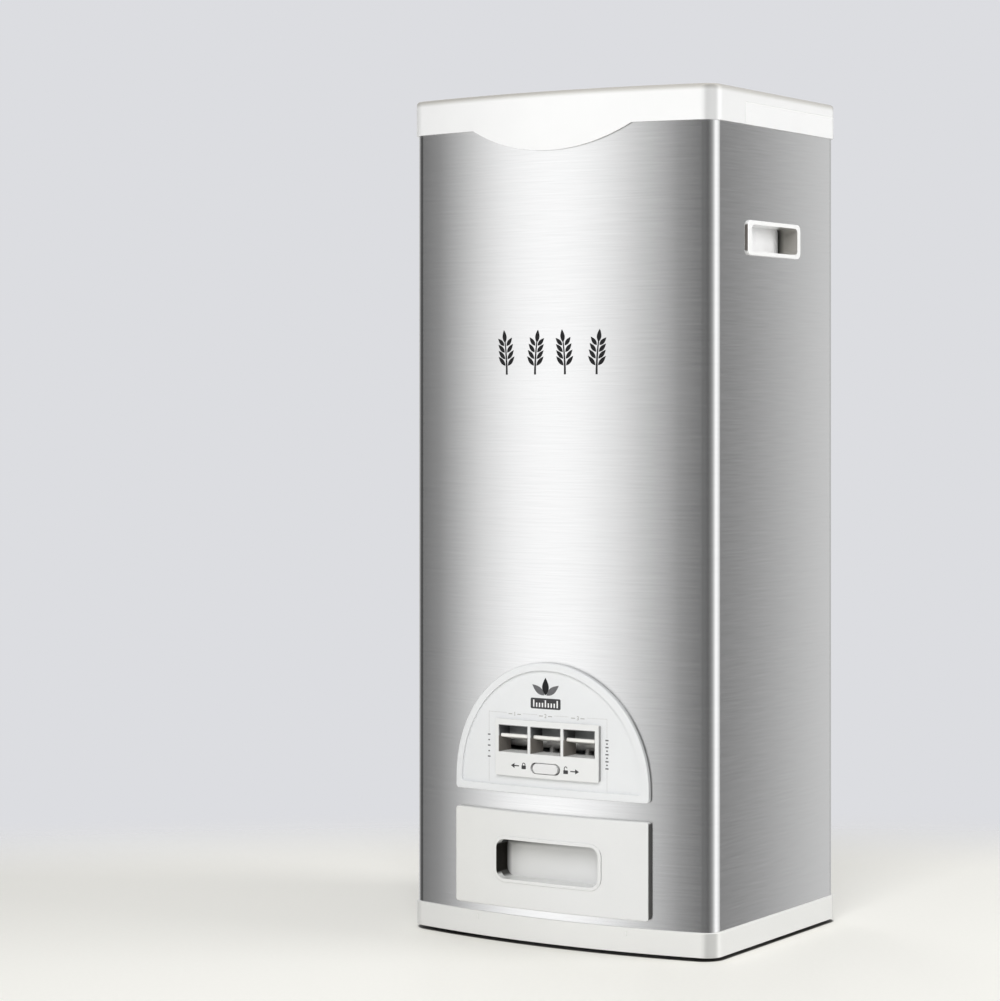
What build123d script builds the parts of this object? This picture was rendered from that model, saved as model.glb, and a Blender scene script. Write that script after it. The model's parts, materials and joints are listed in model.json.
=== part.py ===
from build123d import *

import os
from math import cos, radians, sin, sqrt, tan

# A free-standing steel rice container with three metering keys, in millimetres.
# +X is to the right of someone who faces the front, -Y is the front and +Z is up.
# The origin is on the floor, under the middle of the whole container.

os.makedirs("parts", exist_ok=True)

# General clearances and walls
slide_gap = 0.3
seat_gap = 0.4
bore_gap = 0.05
plastic_t = 2.0
small_round = 0.8

# Steel body, seen from above: a box whose front bows outwards
body_width = 296.0
body_depth = 244.0
front_bow = 17.0
body_corner_r = 13.0
steel_t = 0.8
shell_height = 666.5
lap_width = 12.0

# Base plinth and feet
foot_height = 3.0
foot_r = 10.0
foot_inset = 24.0
peg_r = 3.0
peg_length = 6.0
base_height = 20.5
base_outset = 1.5
base_wall = 3.0
base_floor_t = 3.0
base_edge_r = 1.2
plug_height = 10.0
boss_r = 14.0
rib_t = 2.0
rib_height = 4.0
foot_edge_r = 1.0

# Collar, lid and hinges
collar_height = 18.0
collar_flange_w = 12.0
lid_outset = 2.0
lid_t = 2.5
lid_rise = 12.0
lid_edge_r = 3.0
lip_half_width = 78.0
lip_drop = 20.0
skirt_step = 68.0
lid_seam = 0.8
gasket_inset = 4.0
gasket_w = 3.5
hinge_x = 80.0
hinge_r = 4.0
hinge_pin_r = 1.6
knuckle_w = 10.0
hinge_below_lid = 14.0

# Carrying handles in the sides
handle_length = 97.0
handle_height = 29.6
handle_rim = 6.3
handle_rim_z = 3.5
handle_depth = 19.0
handle_wall = 1.5
handle_proud = 2.0
handle_r = 4.0
handle_rim_round = 1.5
handle_z = 595.8

# Control panel on the front
panel_half_width = 95.0
panel_bottom = 127.3
panel_straight = 10.0
panel_rise = 102.0
panel_plate = 2.8
panel_proud = 5.0
panel_rim_w = 6.5
panel_corner_r = 3.0
panel_edge_r = 1.2

# Raised bezel with the key windows
bezel_half_width = 51.0
bezel_bottom = 142.0
bezel_top = 190.0
bezel_t = 3.5
bezel_r = 2.0
bezel_edge_r = 0.6
bezel_seat = 0.5
window_w = 30.0
window_h = 23.0
window_bar = 2.5
window_bottom = 162.0
frame_depth = 14.0
frame_wall = 1.5
lining_t = 0.5
hood_t = 1.5
hood_gap = 0.8
sill_t = 1.5
sill_depth = 14.0

# Metering keys
shaft_depth = 26.0
shaft_z = 170.1
shaft_r = 3.0
hub_r = 6.5
key_swing = 24.0
finger_reach = 29.0
finger_t = 3.2
finger_gap = 0.6
finger_edge_flat = 0.2
arm_length = 60.0
arm_w = 8.0
arm_t = 3.0
arm_inset = 10.0
cheek_t = 3.0
pin_r = 2.0
pin_gap = 0.1
spring_arm = 35.0
spring_r = 2.6
spring_wire_r = 0.4
spring_turns = 10
cheek_rim = 2.0
shaft_overhang = 3.0
clip_t = 1.0
clip_rim = 2.5
shaft_chamfer = 0.4

# Lock slider
lock_z = 150.3
slot_w = 29.2
slot_h = 9.5
knob_w = 24.5
knob_h = 8.5
knob_proud = 1.0
lock_travel = 2.2
bar_t = 3.0
bar_w = 8.0
bar_overhang = 5.0
knob_neck_w = 8.0
knob_back = 1.0
guide_x = 36.0
guide_w = 6.0
guide_t = 2.0
tooth_t = 2.0
tooth_catch = 2.8
fin_t = 1.8
fin_w = 4.0
fin_offset = 4.0
fin_reach = 14.0
tooth_gap = 0.5

# Measuring chambers and shutters
chamber_widths = (38.0, 64.0, 77.0)
chamber_wall = 2.5
chamber_set_back = 58.0
chamber_depth = 40.0
port_step = 2.0
port_depth = 24.0
shutter_t = 2.0
shutter_cover = 3.0
shutter_lap = 1.0
ear_t = 3.0
ear_w = 12.0
deck_t = 3.0
rail_w = 2.7
deck_overhang = 16.0
socket_h = 6.0
socket_wall = 1.3
socket_gap = 0.2
side_plate_t = 1.5
plate_overhang = 10.0
plate_tab_w = 4.0
plate_tab_t = 2.0
plate_tab_length = 14.0
flange_w = 12.0
flange_screw_step = 12.0

# Hopper
hopper_wall = 2.5
neck_height = 8.0
hopper_rise = 123.0
hopper_rim = 10.0

# Drawer
drawer_front_side_cover = 9.0
drawer_front_corner_r = 3.0
drawer_front_bottom = 30.2
drawer_front_top = 112.0
drawer_front_proud = 5.5
drawer_edge_r = 1.5
pull_half_width = 50.0
pull_bottom = 54.5
pull_top = 88.0
pull_r = 8.0
pull_depth = 19.0
pull_lip_w = 3.0
pull_lip_proud = 0.8
pull_lip_seat = 1.0
pull_lip_edge_r = 0.7
pull_tub_seat = 1.5
box_half_width = 86.0
box_back_room = 62.0
box_bottom = 36.0
box_top = 98.0
box_corner_r = 6.0
box_clearance = 2.0
opening_cover = 6.0
runner_guide_h = 36.0
runner_seat_w = 10.0
runner_guide_t = 2.5
runner_set_back = 22.0
drawer_screw_x = 70.0

# Screws
screw_r = 1.5
screw_head_r = 3.0
screw_head_h = 2.0
wood_screw_length = 8.0
block_screw_grip = 2.6
screw_hole_spare = 0.4

# Places that follow from the sizes above
front_y = -body_depth / 2
back_y = body_depth / 2
bow_radius = (body_width**2 / 4 + front_bow**2) / (2 * front_bow)
bow_y = front_y + bow_radius
base_top = foot_height + base_height
shell_top = base_top + shell_height
collar_top = shell_top + collar_height
lid_top = collar_top + lid_rise
front_reach = panel_plate + bezel_t + knob_proud
hinge_y = body_depth / 2 + front_reach - hinge_r
skirt_step_y = front_y + skirt_step
hinge_z = lid_top - hinge_below_lid
far = 2 * body_depth
frame_depth_y = front_y + frame_depth
sill_back_y = front_y + sill_depth
shaft_y = front_y + shaft_depth
chamber_front = front_y + chamber_set_back
port_front = chamber_front + port_step
half_swing = radians(key_swing / 2)
hood_front_y = frame_depth_y - hood_t
finger_half_height = finger_t / 2 / cos(half_swing)
finger_rise = (shaft_y - hood_front_y) * tan(half_swing)
hood_bottom = shaft_z + finger_rise + finger_half_height + hood_gap
travel = 2 * arm_length * sin(half_swing)
pin_lift = arm_length * (1 - cos(half_swing))
plate_offset = arm_length - pin_lift / 2
upper_z = shaft_z + plate_offset
lower_z = shaft_z - plate_offset
upper_slot_y = shaft_y + travel / 2
lower_slot_y = shaft_y - travel / 2
chamber_back = chamber_front + chamber_depth
deck_back_y = chamber_back + deck_overhang
block_top = upper_z - shutter_t / 2 - slide_gap
block_bottom = lower_z + shutter_t / 2 + slide_gap
upper_deck_z = upper_z + shutter_t / 2 + slide_gap
lower_deck_z = lower_z - shutter_t / 2 - slide_gap
block_front = chamber_front - chamber_wall
chamber_span = sum(chamber_widths) + (len(chamber_widths) - 1) * chamber_wall
rail_x = chamber_span / 2 + shutter_lap + slide_gap
runner_outer_x = box_half_width + seat_gap + runner_guide_t
deck_half_width = max(rail_x + rail_w, runner_outer_x + slide_gap)
window_pitch = window_w + window_bar
window_centres = [(n - 1) * window_pitch for n in range(3)]
windows_half_width = 1.5 * window_w + window_bar
window_top = window_bottom + window_h
cutout_half_width = windows_half_width + frame_wall + seat_gap
cutout_bottom = lock_z - slot_h / 2 - 1.0
cutout_top = window_top + frame_wall + seat_gap
drawer_front_half_width = box_half_width + drawer_front_side_cover
pull_back_y = front_y - drawer_front_proud + pull_depth
box_front_y = pull_back_y + plastic_t
box_back_y = back_y - box_back_room

# Left edge of each chamber, from left to right
chamber_lefts = []
left_edge = -chamber_span / 2
for chamber_width in chamber_widths:
    chamber_lefts.append(left_edge)
    left_edge += chamber_width + chamber_wall

# Each key's hub ends and the places of its arms and lock fin, along the shaft
ear_reach = arm_t / 2 + seat_gap + ear_t
arm_places = [
    chamber_lefts[0] + chamber_widths[0] + shutter_lap - ear_reach - pin_gap,
    window_centres[1] - arm_inset,
    chamber_lefts[2] + arm_inset,
]
hub_ends = [
    (arm_places[0] - arm_w / 2, -window_pitch / 2 - slide_gap),
    (-window_pitch / 2 + slide_gap, window_pitch / 2 - slide_gap),
    (window_pitch / 2 + slide_gap, windows_half_width),
]
fin_places = [middle + fin_offset for middle in window_centres]
cheek_places = (hub_ends[0][0] - slide_gap - cheek_t, hub_ends[2][1] + slide_gap)


def bowed_face(half, front, back, radius, corner_r, mode=Mode.ADD):
    """Face with straight sides and back, and a front edge that bows outwards."""
    corner_y = front + radius - sqrt(radius**2 - half**2)
    with BuildSketch(mode=Mode.PRIVATE) as plan:
        with BuildLine():
            Polyline((-half, corner_y), (-half, back), (half, back), (half, corner_y))
            ThreePointArc((half, corner_y), (0, front), (-half, corner_y))
        make_face()
        fillet(plan.vertices(), corner_r)
    add(plan.sketch, mode=mode)


def body_plan(grow, mode=Mode.ADD):
    """Plan of the steel body with every side moved outwards by grow."""
    corner_r = max(body_corner_r + grow, 1.0)
    bowed_face(
        body_width / 2 + grow, front_y - grow, back_y + grow, bow_radius + grow, corner_r, mode
    )


def front_band(inner, outer):
    """Ring between two arcs that run along the bowed front, inner and outer in front of it."""
    with Locations((0, bow_y)):
        Circle(bow_radius + outer)
        Circle(bow_radius + inner, mode=Mode.SUBTRACT)


def behind_front(x_min, x_max, rear_y, grow):
    """Plan of a block that ends in front at an arc along the bowed front."""
    length = rear_y - front_y + 2 * front_reach
    with Locations(((x_min + x_max) / 2, rear_y - length / 2)):
        Rectangle(x_max - x_min, length)
    with Locations((0, bow_y)):
        Circle(bow_radius + grow, mode=Mode.INTERSECT)


def arch(inset):
    """Outline of the control panel in the front view, moved inwards by inset."""
    half = panel_half_width - inset
    low = panel_bottom + inset
    spring_z = panel_bottom + panel_straight
    with BuildSketch(mode=Mode.PRIVATE) as outline:
        with BuildLine():
            Polyline((-half, spring_z), (-half, low), (half, low), (half, spring_z))
            EllipticalCenterArc((0, spring_z), half, panel_rise - inset, start_angle=0, arc_size=180)
        make_face()
        fillet(outline.vertices().group_by(Axis.Y)[0], panel_corner_r)
    add(outline.sketch)


def window_row(width, height, z_middle):
    """The three key windows in the front view."""
    for middle in window_centres:
        with Locations((middle, z_middle)):
            Rectangle(width, height)


def block(low, high, mode=Mode.ADD):
    """Box between two opposite corners."""
    with Locations(tuple((a + b) / 2 for a, b in zip(low, high))):
        Box(*(b - a for a, b in zip(low, high)), mode=mode)


def rod_x(x_min, x_max, y, z, radius, mode=Mode.ADD):
    """Round rod that lies along X."""
    with Locations(((x_min + x_max) / 2, y, z)):
        Cylinder(radius, x_max - x_min, rotation=(0, 90, 0), mode=mode)


def rod_y(x, y_min, y_max, z, radius, mode=Mode.ADD):
    """Round rod that lies along Y."""
    with Locations((x, (y_min + y_max) / 2, z)):
        Cylinder(radius, y_max - y_min, rotation=(90, 0, 0), mode=mode)


def rod_z(x, y, z_min, z_max, radius, mode=Mode.ADD):
    """Round rod that stands along Z."""
    with Locations((x, y, (z_min + z_max) / 2)):
        Cylinder(radius, z_max - z_min, mode=mode)


def save(part, name):
    """Name a finished piece and write it to its own file."""
    part.label = name
    export_step(part, f"parts/{name}.step")


# The steel shell is one wrapped sheet, lapped over itself down the middle of the back.
opening_half = box_half_width + box_clearance
opening_bottom = box_bottom - box_clearance
opening_top = drawer_front_top - opening_cover
with BuildPart() as steel_shell:
    with BuildSketch(Plane.XY.offset(base_top)):
        body_plan(0)
        body_plan(-steel_t, Mode.SUBTRACT)
    extrude(amount=shell_height)
    block((-lap_width / 2, back_y, base_top), (lap_width / 2, back_y + steel_t, shell_top))
    block(
        (-cutout_half_width, -far, cutout_bottom), (cutout_half_width, 0, cutout_top), Mode.SUBTRACT
    )
    block((-opening_half, -far, opening_bottom), (opening_half, 0, opening_top), Mode.SUBTRACT)
    with BuildSketch(Plane.YZ.offset(-body_width)):
        with Locations((0, handle_z)):
            RectangleRounded(
                handle_length - 2 * handle_rim + 2 * handle_wall + 2 * slide_gap,
                handle_height - 2 * handle_rim_z + 2 * handle_wall + 2 * slide_gap,
                handle_r + handle_wall + slide_gap,
            )
    extrude(amount=2 * body_width, mode=Mode.SUBTRACT)
save(steel_shell.part, "steel_shell")

# The base is a plinth, open underneath, with a plug that stands inside the shell.
foot_places = [
    (side * (body_width / 2 - foot_inset), y)
    for y in (front_y + front_bow + foot_inset, back_y - foot_inset)
    for side in (-1, 1)
]
plate_outer_x = deck_half_width + side_plate_t
flange_screw_x = plate_outer_x + flange_w / 2
flange_screw_ys = (chamber_front + flange_screw_step, chamber_back)
with BuildPart() as base:
    with BuildSketch(Plane.XY.offset(foot_height)):
        body_plan(base_outset)
    extrude(amount=base_height)
    fillet(base.faces().sort_by(Axis.Z)[-1].edges(), base_edge_r)
    with BuildSketch(Plane.XY.offset(foot_height)):
        body_plan(base_outset - base_wall)
    extrude(amount=base_height - base_floor_t, mode=Mode.SUBTRACT)
    for x, y in foot_places:
        rod_z(x, y, foot_height, base_top - base_floor_t, boss_r)
    rib_half = body_width / 2 - rib_t
    rib_top = base_top - base_floor_t
    for y in (front_y + front_bow + foot_inset, 0, back_y - foot_inset):
        block((-rib_half, y - rib_t / 2, rib_top - rib_height), (rib_half, y + rib_t / 2, rib_top))
    for side in (-1, 1):
        rib_x = side * rib_half / 2
        block(
            (rib_x - rib_t / 2, front_y + rib_t, rib_top - rib_height),
            (rib_x + rib_t / 2, back_y - rib_t, rib_top),
        )
    with BuildSketch(Plane.XY.offset(base_top)):
        body_plan(-steel_t - slide_gap)
        body_plan(-steel_t - slide_gap - plastic_t, Mode.SUBTRACT)
    extrude(amount=plug_height)
    for x, y in foot_places:
        rod_z(x, y, foot_height, foot_height + peg_length, peg_r, Mode.SUBTRACT)
    for side in (-1, 1):
        for y in flange_screw_ys:
            screw_hole_r = screw_r + bore_gap
            rod_z(side * flange_screw_x, y, foot_height, base_top, screw_hole_r, Mode.SUBTRACT)
save(base.part, "base")

foot_names = ("foot_front_left", "foot_front_right", "foot_rear_left", "foot_rear_right")
for foot_name, (x, y) in zip(foot_names, foot_places):
    with BuildPart() as foot:
        rod_z(x, y, 0, foot_height, foot_r)
        fillet(foot.faces().sort_by(Axis.Z)[0].edges(), foot_edge_r)
        rod_z(x, y, foot_height, foot_height + peg_length - seat_gap, peg_r - bore_gap)
    save(foot.part, foot_name)

# The collar caps the steel's top edge. Its rear part is as wide as the lid, and its front
# part is set back so that the lid's skirt hangs in front of it.
with BuildPart() as top_collar:
    with BuildSketch(Plane.XY.offset(shell_top)):
        body_plan(lid_outset)
    extrude(amount=collar_height)
    with BuildSketch(Plane.XY.offset(shell_top)):
        with Locations((0, skirt_step_y - body_depth / 2)):
            Rectangle(2 * body_width, body_depth)
        body_plan(0, Mode.SUBTRACT)
    extrude(amount=collar_height, mode=Mode.SUBTRACT)
    with BuildSketch(Plane.XY.offset(shell_top + plastic_t)):
        body_plan(-plastic_t)
    extrude(amount=collar_height - 2 * plastic_t, mode=Mode.SUBTRACT)
    with BuildSketch(Plane.XY.offset(shell_top)):
        body_plan(-collar_flange_w)
    extrude(amount=collar_height, mode=Mode.SUBTRACT)
    with BuildSketch(Plane.XY.offset(shell_top)):
        body_plan(-steel_t - slide_gap)
        body_plan(-steel_t - slide_gap - plastic_t, Mode.SUBTRACT)
    extrude(amount=-plug_height)
    for side in (-1, 1):
        middle = side * hinge_x
        knuckle_end = knuckle_w / 2 + slide_gap
        rod_x(
            middle - knuckle_end,
            middle + knuckle_end,
            hinge_y,
            hinge_z,
            hinge_r + slide_gap,
            Mode.SUBTRACT,
        )
        for end in (-1, 1):
            ear = sorted((middle + end * knuckle_end, middle + end * (knuckle_end + knuckle_w)))
            rod_x(*ear, hinge_y, hinge_z, hinge_r)
            rod_x(*ear, hinge_y, hinge_z, hinge_pin_r + bore_gap, Mode.SUBTRACT)
save(top_collar.part, "top_collar")

# The lid's finger lip hangs over the steel front as a shallow arc.
with BuildPart() as lid_lip:
    with BuildSketch(Plane.XZ.offset(-front_y - front_bow)):
        with BuildLine():
            Line((-lip_half_width, shell_top), (-lip_half_width, shell_top + lip_drop))
            Line((-lip_half_width, shell_top + lip_drop), (lip_half_width, shell_top + lip_drop))
            Line((lip_half_width, shell_top + lip_drop), (lip_half_width, shell_top))
            ThreePointArc(
                (lip_half_width, shell_top), (0, shell_top - lip_drop), (-lip_half_width, shell_top)
            )
        make_face()
    extrude(amount=2 * front_bow)
    with BuildSketch(Plane.XY):
        front_band(0, lid_outset)
    extrude(amount=lid_top, mode=Mode.INTERSECT)

# The lid is a cap whose skirt is deep in front and shallow over the collar.
with BuildPart() as lid:
    with BuildSketch(Plane.XY.offset(shell_top)):
        body_plan(lid_outset)
    extrude(amount=lid_top - shell_top)
    fillet(lid.faces().sort_by(Axis.Z)[-1].edges(), lid_edge_r)
    block(
        (-body_width, skirt_step_y - seat_gap, shell_top - lip_drop),
        (body_width, body_depth, collar_top + lid_seam),
        Mode.SUBTRACT,
    )
    add(lid_lip.part)
    with BuildSketch(Plane.XY.offset(shell_top - 2 * lip_drop)):
        body_plan(slide_gap)
    extrude(amount=lid_top - lid_t - shell_top + 2 * lip_drop, mode=Mode.SUBTRACT)
    for side in (-1, 1):
        middle = side * hinge_x
        knuckle_end = knuckle_w / 2 + slide_gap
        for end in (-1, 1):
            ear = sorted(
                (middle + end * knuckle_w / 2, middle + end * (knuckle_end + knuckle_w + slide_gap))
            )
            rod_x(*ear, hinge_y, hinge_z, hinge_r + slide_gap, Mode.SUBTRACT)
        rod_x(middle - knuckle_w / 2, middle + knuckle_w / 2, hinge_y, hinge_z, hinge_r)
        rod_x(
            middle - knuckle_w / 2,
            middle + knuckle_w / 2,
            hinge_y,
            hinge_z,
            hinge_pin_r + bore_gap,
            Mode.SUBTRACT,
        )
save(lid.part, "lid")

with BuildPart() as lid_gasket:
    with BuildSketch(Plane.XY.offset(collar_top + slide_gap)):
        body_plan(-gasket_inset)
        body_plan(-gasket_inset - gasket_w, Mode.SUBTRACT)
    extrude(amount=lid_rise - lid_t - slide_gap)
save(lid_gasket.part, "lid_gasket")

for side, pin_name in ((-1, "hinge_pin_left"), (1, "hinge_pin_right")):
    with BuildPart() as hinge_pin:
        pin_half = 1.5 * knuckle_w + slide_gap
        rod_x(side * hinge_x - pin_half, side * hinge_x + pin_half, hinge_y, hinge_z, hinge_pin_r)
    save(hinge_pin.part, pin_name)

# Each carrying handle is a tub pushed in through the shell's side, held by its rim.
side_x = body_width / 2
with BuildPart() as handle_cup_right:
    with BuildSketch(Plane.YZ.offset(side_x)):
        with Locations((0, handle_z)):
            RectangleRounded(handle_length, handle_height, handle_r + handle_rim_round)
    extrude(amount=handle_proud)
    fillet(handle_cup_right.faces().sort_by(Axis.X)[-1].edges(), small_round)
    with BuildSketch(Plane.YZ.offset(side_x)):
        with Locations((0, handle_z)):
            RectangleRounded(
                handle_length - 2 * handle_rim + 2 * handle_wall,
                handle_height - 2 * handle_rim_z + 2 * handle_wall,
                handle_r + handle_wall,
            )
    extrude(amount=-handle_depth - handle_wall + handle_proud)
    with BuildSketch(Plane.YZ.offset(side_x + handle_proud)):
        with Locations((0, handle_z)):
            RectangleRounded(
                handle_length - 2 * handle_rim, handle_height - 2 * handle_rim_z, handle_r
            )
    extrude(amount=-handle_depth, mode=Mode.SUBTRACT)
save(handle_cup_right.part, "handle_cup_right")

with BuildPart() as handle_cup_left:
    mirror(handle_cup_right.part, about=Plane.YZ)
save(handle_cup_left.part, "handle_cup_left")

# The control panel is an arched plate with a raised rim, curved along the front.
panel_plane = Plane.XZ.offset(-front_y - front_bow)
with BuildPart() as panel_plate_body:
    with BuildSketch(panel_plane):
        arch(panel_rim_w / 2)
    extrude(amount=2 * front_bow)
    with BuildSketch(Plane.XY):
        front_band(slide_gap, panel_plate)
    extrude(amount=shell_top, mode=Mode.INTERSECT)

with BuildPart() as control_panel:
    with BuildSketch(panel_plane):
        arch(0)
    extrude(amount=2 * front_bow)
    with BuildSketch(Plane.XY):
        front_band(slide_gap, panel_proud)
    extrude(amount=shell_top, mode=Mode.INTERSECT)
    fillet(control_panel.faces().sort_by(Axis.Y)[0].edges(), panel_edge_r)
    with BuildSketch(panel_plane):
        arch(panel_rim_w)
    extrude(amount=2 * front_bow, mode=Mode.SUBTRACT)
    add(panel_plate_body.part)
    block(
        (-cutout_half_width, -far, cutout_bottom), (cutout_half_width, 0, cutout_top), Mode.SUBTRACT
    )
save(control_panel.part, "control_panel")

# The bezel closes the cut-out. It has the windows, a sill under them and the lock's slot.
bezel_front = panel_plate + bezel_t
with BuildPart() as bezel:
    with BuildSketch(panel_plane):
        with Locations((0, (bezel_bottom + bezel_top) / 2)):
            RectangleRounded(2 * bezel_half_width, bezel_top - bezel_bottom, bezel_r)
    extrude(amount=2 * front_bow)
    with BuildSketch(Plane.XY):
        front_band(panel_plate, bezel_front)
    extrude(amount=shell_top, mode=Mode.INTERSECT)
    fillet(bezel.faces().sort_by(Axis.Y)[0].edges(), bezel_edge_r)
    with BuildSketch(panel_plane):
        window_row(window_w, window_h, window_bottom + window_h / 2)
        with Locations((0, lock_z)):
            SlotOverall(slot_w, slot_h)
    extrude(amount=2 * front_bow, mode=Mode.SUBTRACT)
    with BuildSketch(Plane.XY.offset(window_bottom - sill_t)):
        behind_front(-windows_half_width, windows_half_width, sill_back_y, panel_plate + bezel_seat)
    extrude(amount=sill_t)
    for side in (-1, 1):
        for guide_z in (
            lock_z - bar_t / 2 - slide_gap - guide_t,
            lock_z + bar_t / 2 + slide_gap,
        ):
            with BuildSketch(Plane.XY.offset(guide_z)):
                behind_front(
                    side * guide_x - guide_w / 2,
                    side * guide_x + guide_w / 2,
                    sill_back_y,
                    panel_plate + bezel_seat,
                )
            extrude(amount=guide_t)
save(bezel.part, "bezel")

# The dark frame parts the windows behind the bezel and lines each opening. Its hood closes
# the top of each bay behind the keys.
with BuildPart() as window_frame:
    frame_half = windows_half_width + frame_wall
    with BuildSketch(Plane.XY.offset(window_bottom)):
        behind_front(-frame_half, frame_half, frame_depth_y, panel_plate - seat_gap / 2)
    extrude(amount=window_h + frame_wall)
    for middle in window_centres:
        lining_half = window_w / 2 - bore_gap
        with BuildSketch(Plane.XY.offset(window_bottom)):
            behind_front(
                middle - lining_half, middle + lining_half, frame_depth_y, bezel_front - seat_gap
            )
        extrude(amount=window_h - bore_gap)
    for middle in window_centres:
        bay_half = window_w / 2 - bore_gap - lining_t
        block(
            (middle - bay_half, -far, window_bottom),
            (middle + bay_half, 0, window_top - bore_gap - lining_t),
            Mode.SUBTRACT,
        )
    block((-frame_half, hood_front_y, hood_bottom), (frame_half, frame_depth_y, window_top))
save(window_frame.part, "window_frame")

# Each key is a rocker on the shaft: a finger in its window, an upper and a lower arm with
# a pin each, and a fin under the hub that the lock can block.
key_plane = Plane(
    origin=(0, shaft_y, shaft_z), x_dir=(1, 0, 0), z_dir=(0, sin(half_swing), cos(half_swing))
)
pin_length = arm_t / 2 + seat_gap + ear_t + seat_gap


def make_key(middle, hub, arm_x, fin_x):
    """One metering key, tilted back to its place at rest."""
    finger_half = window_w / 2 - bore_gap - lining_t - finger_gap
    with BuildPart(key_plane) as key:
        block(
            (middle - finger_half, -finger_reach, -finger_t / 2),
            (middle + finger_half, 0, finger_t / 2),
        )
        fillet(key.edges().filter_by(Axis.X).sort_by(Axis.Y)[:2], finger_t / 2 - finger_edge_flat)
        rod_x(*hub, 0, 0, hub_r)
        for end in (-1, 1):
            arm = sorted((0, end * arm_length))
            block((arm_x - arm_t / 2, -arm_w / 2, arm[0]), (arm_x + arm_t / 2, arm_w / 2, arm[1]))
            rod_x(arm_x - arm_t / 2, arm_x + arm_t / 2, 0, end * arm_length, arm_w / 2)
            rod_x(arm_x, arm_x + pin_length, 0, end * arm_length, pin_r)
        block((fin_x - fin_t / 2, -fin_w / 2, -fin_reach), (fin_x + fin_t / 2, fin_w / 2, 0))
        rod_x(hub[0], hub[1], 0, 0, shaft_r + bore_gap, Mode.SUBTRACT)
    return key.part


for number in range(3):
    key = make_key(
        window_centres[number], hub_ends[number], arm_places[number], fin_places[number]
    )
    save(key, f"key_{number + 1}")

shaft_ends = (cheek_places[0] - shaft_overhang, cheek_places[1] + cheek_t + shaft_overhang)
with BuildPart() as key_shaft:
    rod_x(*shaft_ends, shaft_y, shaft_z, shaft_r)
    chamfer(key_shaft.edges().filter_by(GeomType.CIRCLE), shaft_chamfer)
save(key_shaft.part, "key_shaft")

clip_starts = (cheek_places[0] - clip_t, cheek_places[1] + cheek_t)
with BuildPart() as shaft_clips:
    for clip_start in clip_starts:
        clip_end = clip_start + clip_t
        rod_x(clip_start, clip_end, shaft_y, shaft_z, shaft_r + clip_rim)
        rod_x(clip_start, clip_end, shaft_y, shaft_z, shaft_r + bore_gap, Mode.SUBTRACT)
save(shaft_clips.part, "shaft_clips")

# A short tension spring pulls each upper arm back towards the chamber block.
spring_z = shaft_z + spring_arm
arm_back_y = shaft_y + spring_arm * tan(half_swing) + arm_w / 2 / cos(half_swing)
spring_length = block_front - arm_back_y - slide_gap - 2 * spring_wire_r
spring_pitch = spring_length / spring_turns
print("return spring pitch", round(spring_pitch, 2), "least gap between turns",
      round(spring_pitch - 2 * spring_wire_r, 2))
for number in range(3):
    with BuildPart() as return_spring:
        with BuildLine() as coil:
            Helix(
                pitch=spring_pitch,
                height=spring_length,
                radius=spring_r,
                center=(arm_places[number], block_front - spring_wire_r, spring_z),
                direction=(0, -1, 0),
            )
        with BuildSketch(coil.line ^ 0):
            Circle(spring_wire_r)
        sweep(path=coil.line, is_frenet=True)
    save(return_spring.part, f"return_spring_{number + 1}")

# The lock's knob shows under the windows. Its bar has a tooth for each key's fin.
knob_front = bezel_front + knob_proud
bar_front_y = sill_back_y - bar_w
with BuildPart() as lock_knob:
    with BuildSketch(panel_plane):
        with Locations((0, lock_z)):
            SlotOverall(knob_w, knob_h)
    extrude(amount=2 * front_bow)
    with BuildSketch(Plane.XY):
        front_band(-knob_back, knob_front)
    extrude(amount=shell_top, mode=Mode.INTERSECT)
    fillet(lock_knob.faces().sort_by(Axis.Y)[0].edges(), small_round)
    block(
        (-knob_neck_w / 2, front_y, lock_z - bar_t / 2),
        (knob_neck_w / 2, bar_front_y, lock_z + bar_t / 2),
    )
save(lock_knob.part, "lock_knob")

bar_half = guide_x + guide_w / 2 + bar_overhang
tooth_y = shaft_y + tooth_gap
tooth_top = shaft_z - fin_reach + tooth_catch
with BuildPart() as lock_bar:
    block(
        (-bar_half, bar_front_y, lock_z - bar_t / 2), (bar_half, sill_back_y, lock_z + bar_t / 2)
    )
    for fin_x in fin_places:
        tooth_x = fin_x + lock_travel
        block(
            (tooth_x - fin_t / 2, sill_back_y, lock_z - bar_t / 2),
            (tooth_x + fin_t / 2, tooth_y + tooth_t, lock_z + bar_t / 2),
        )
        block(
            (tooth_x - fin_t / 2, tooth_y, lock_z + bar_t / 2),
            (tooth_x + fin_t / 2, tooth_y + tooth_t, tooth_top),
        )
save(lock_bar.part, "lock_bar")

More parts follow.
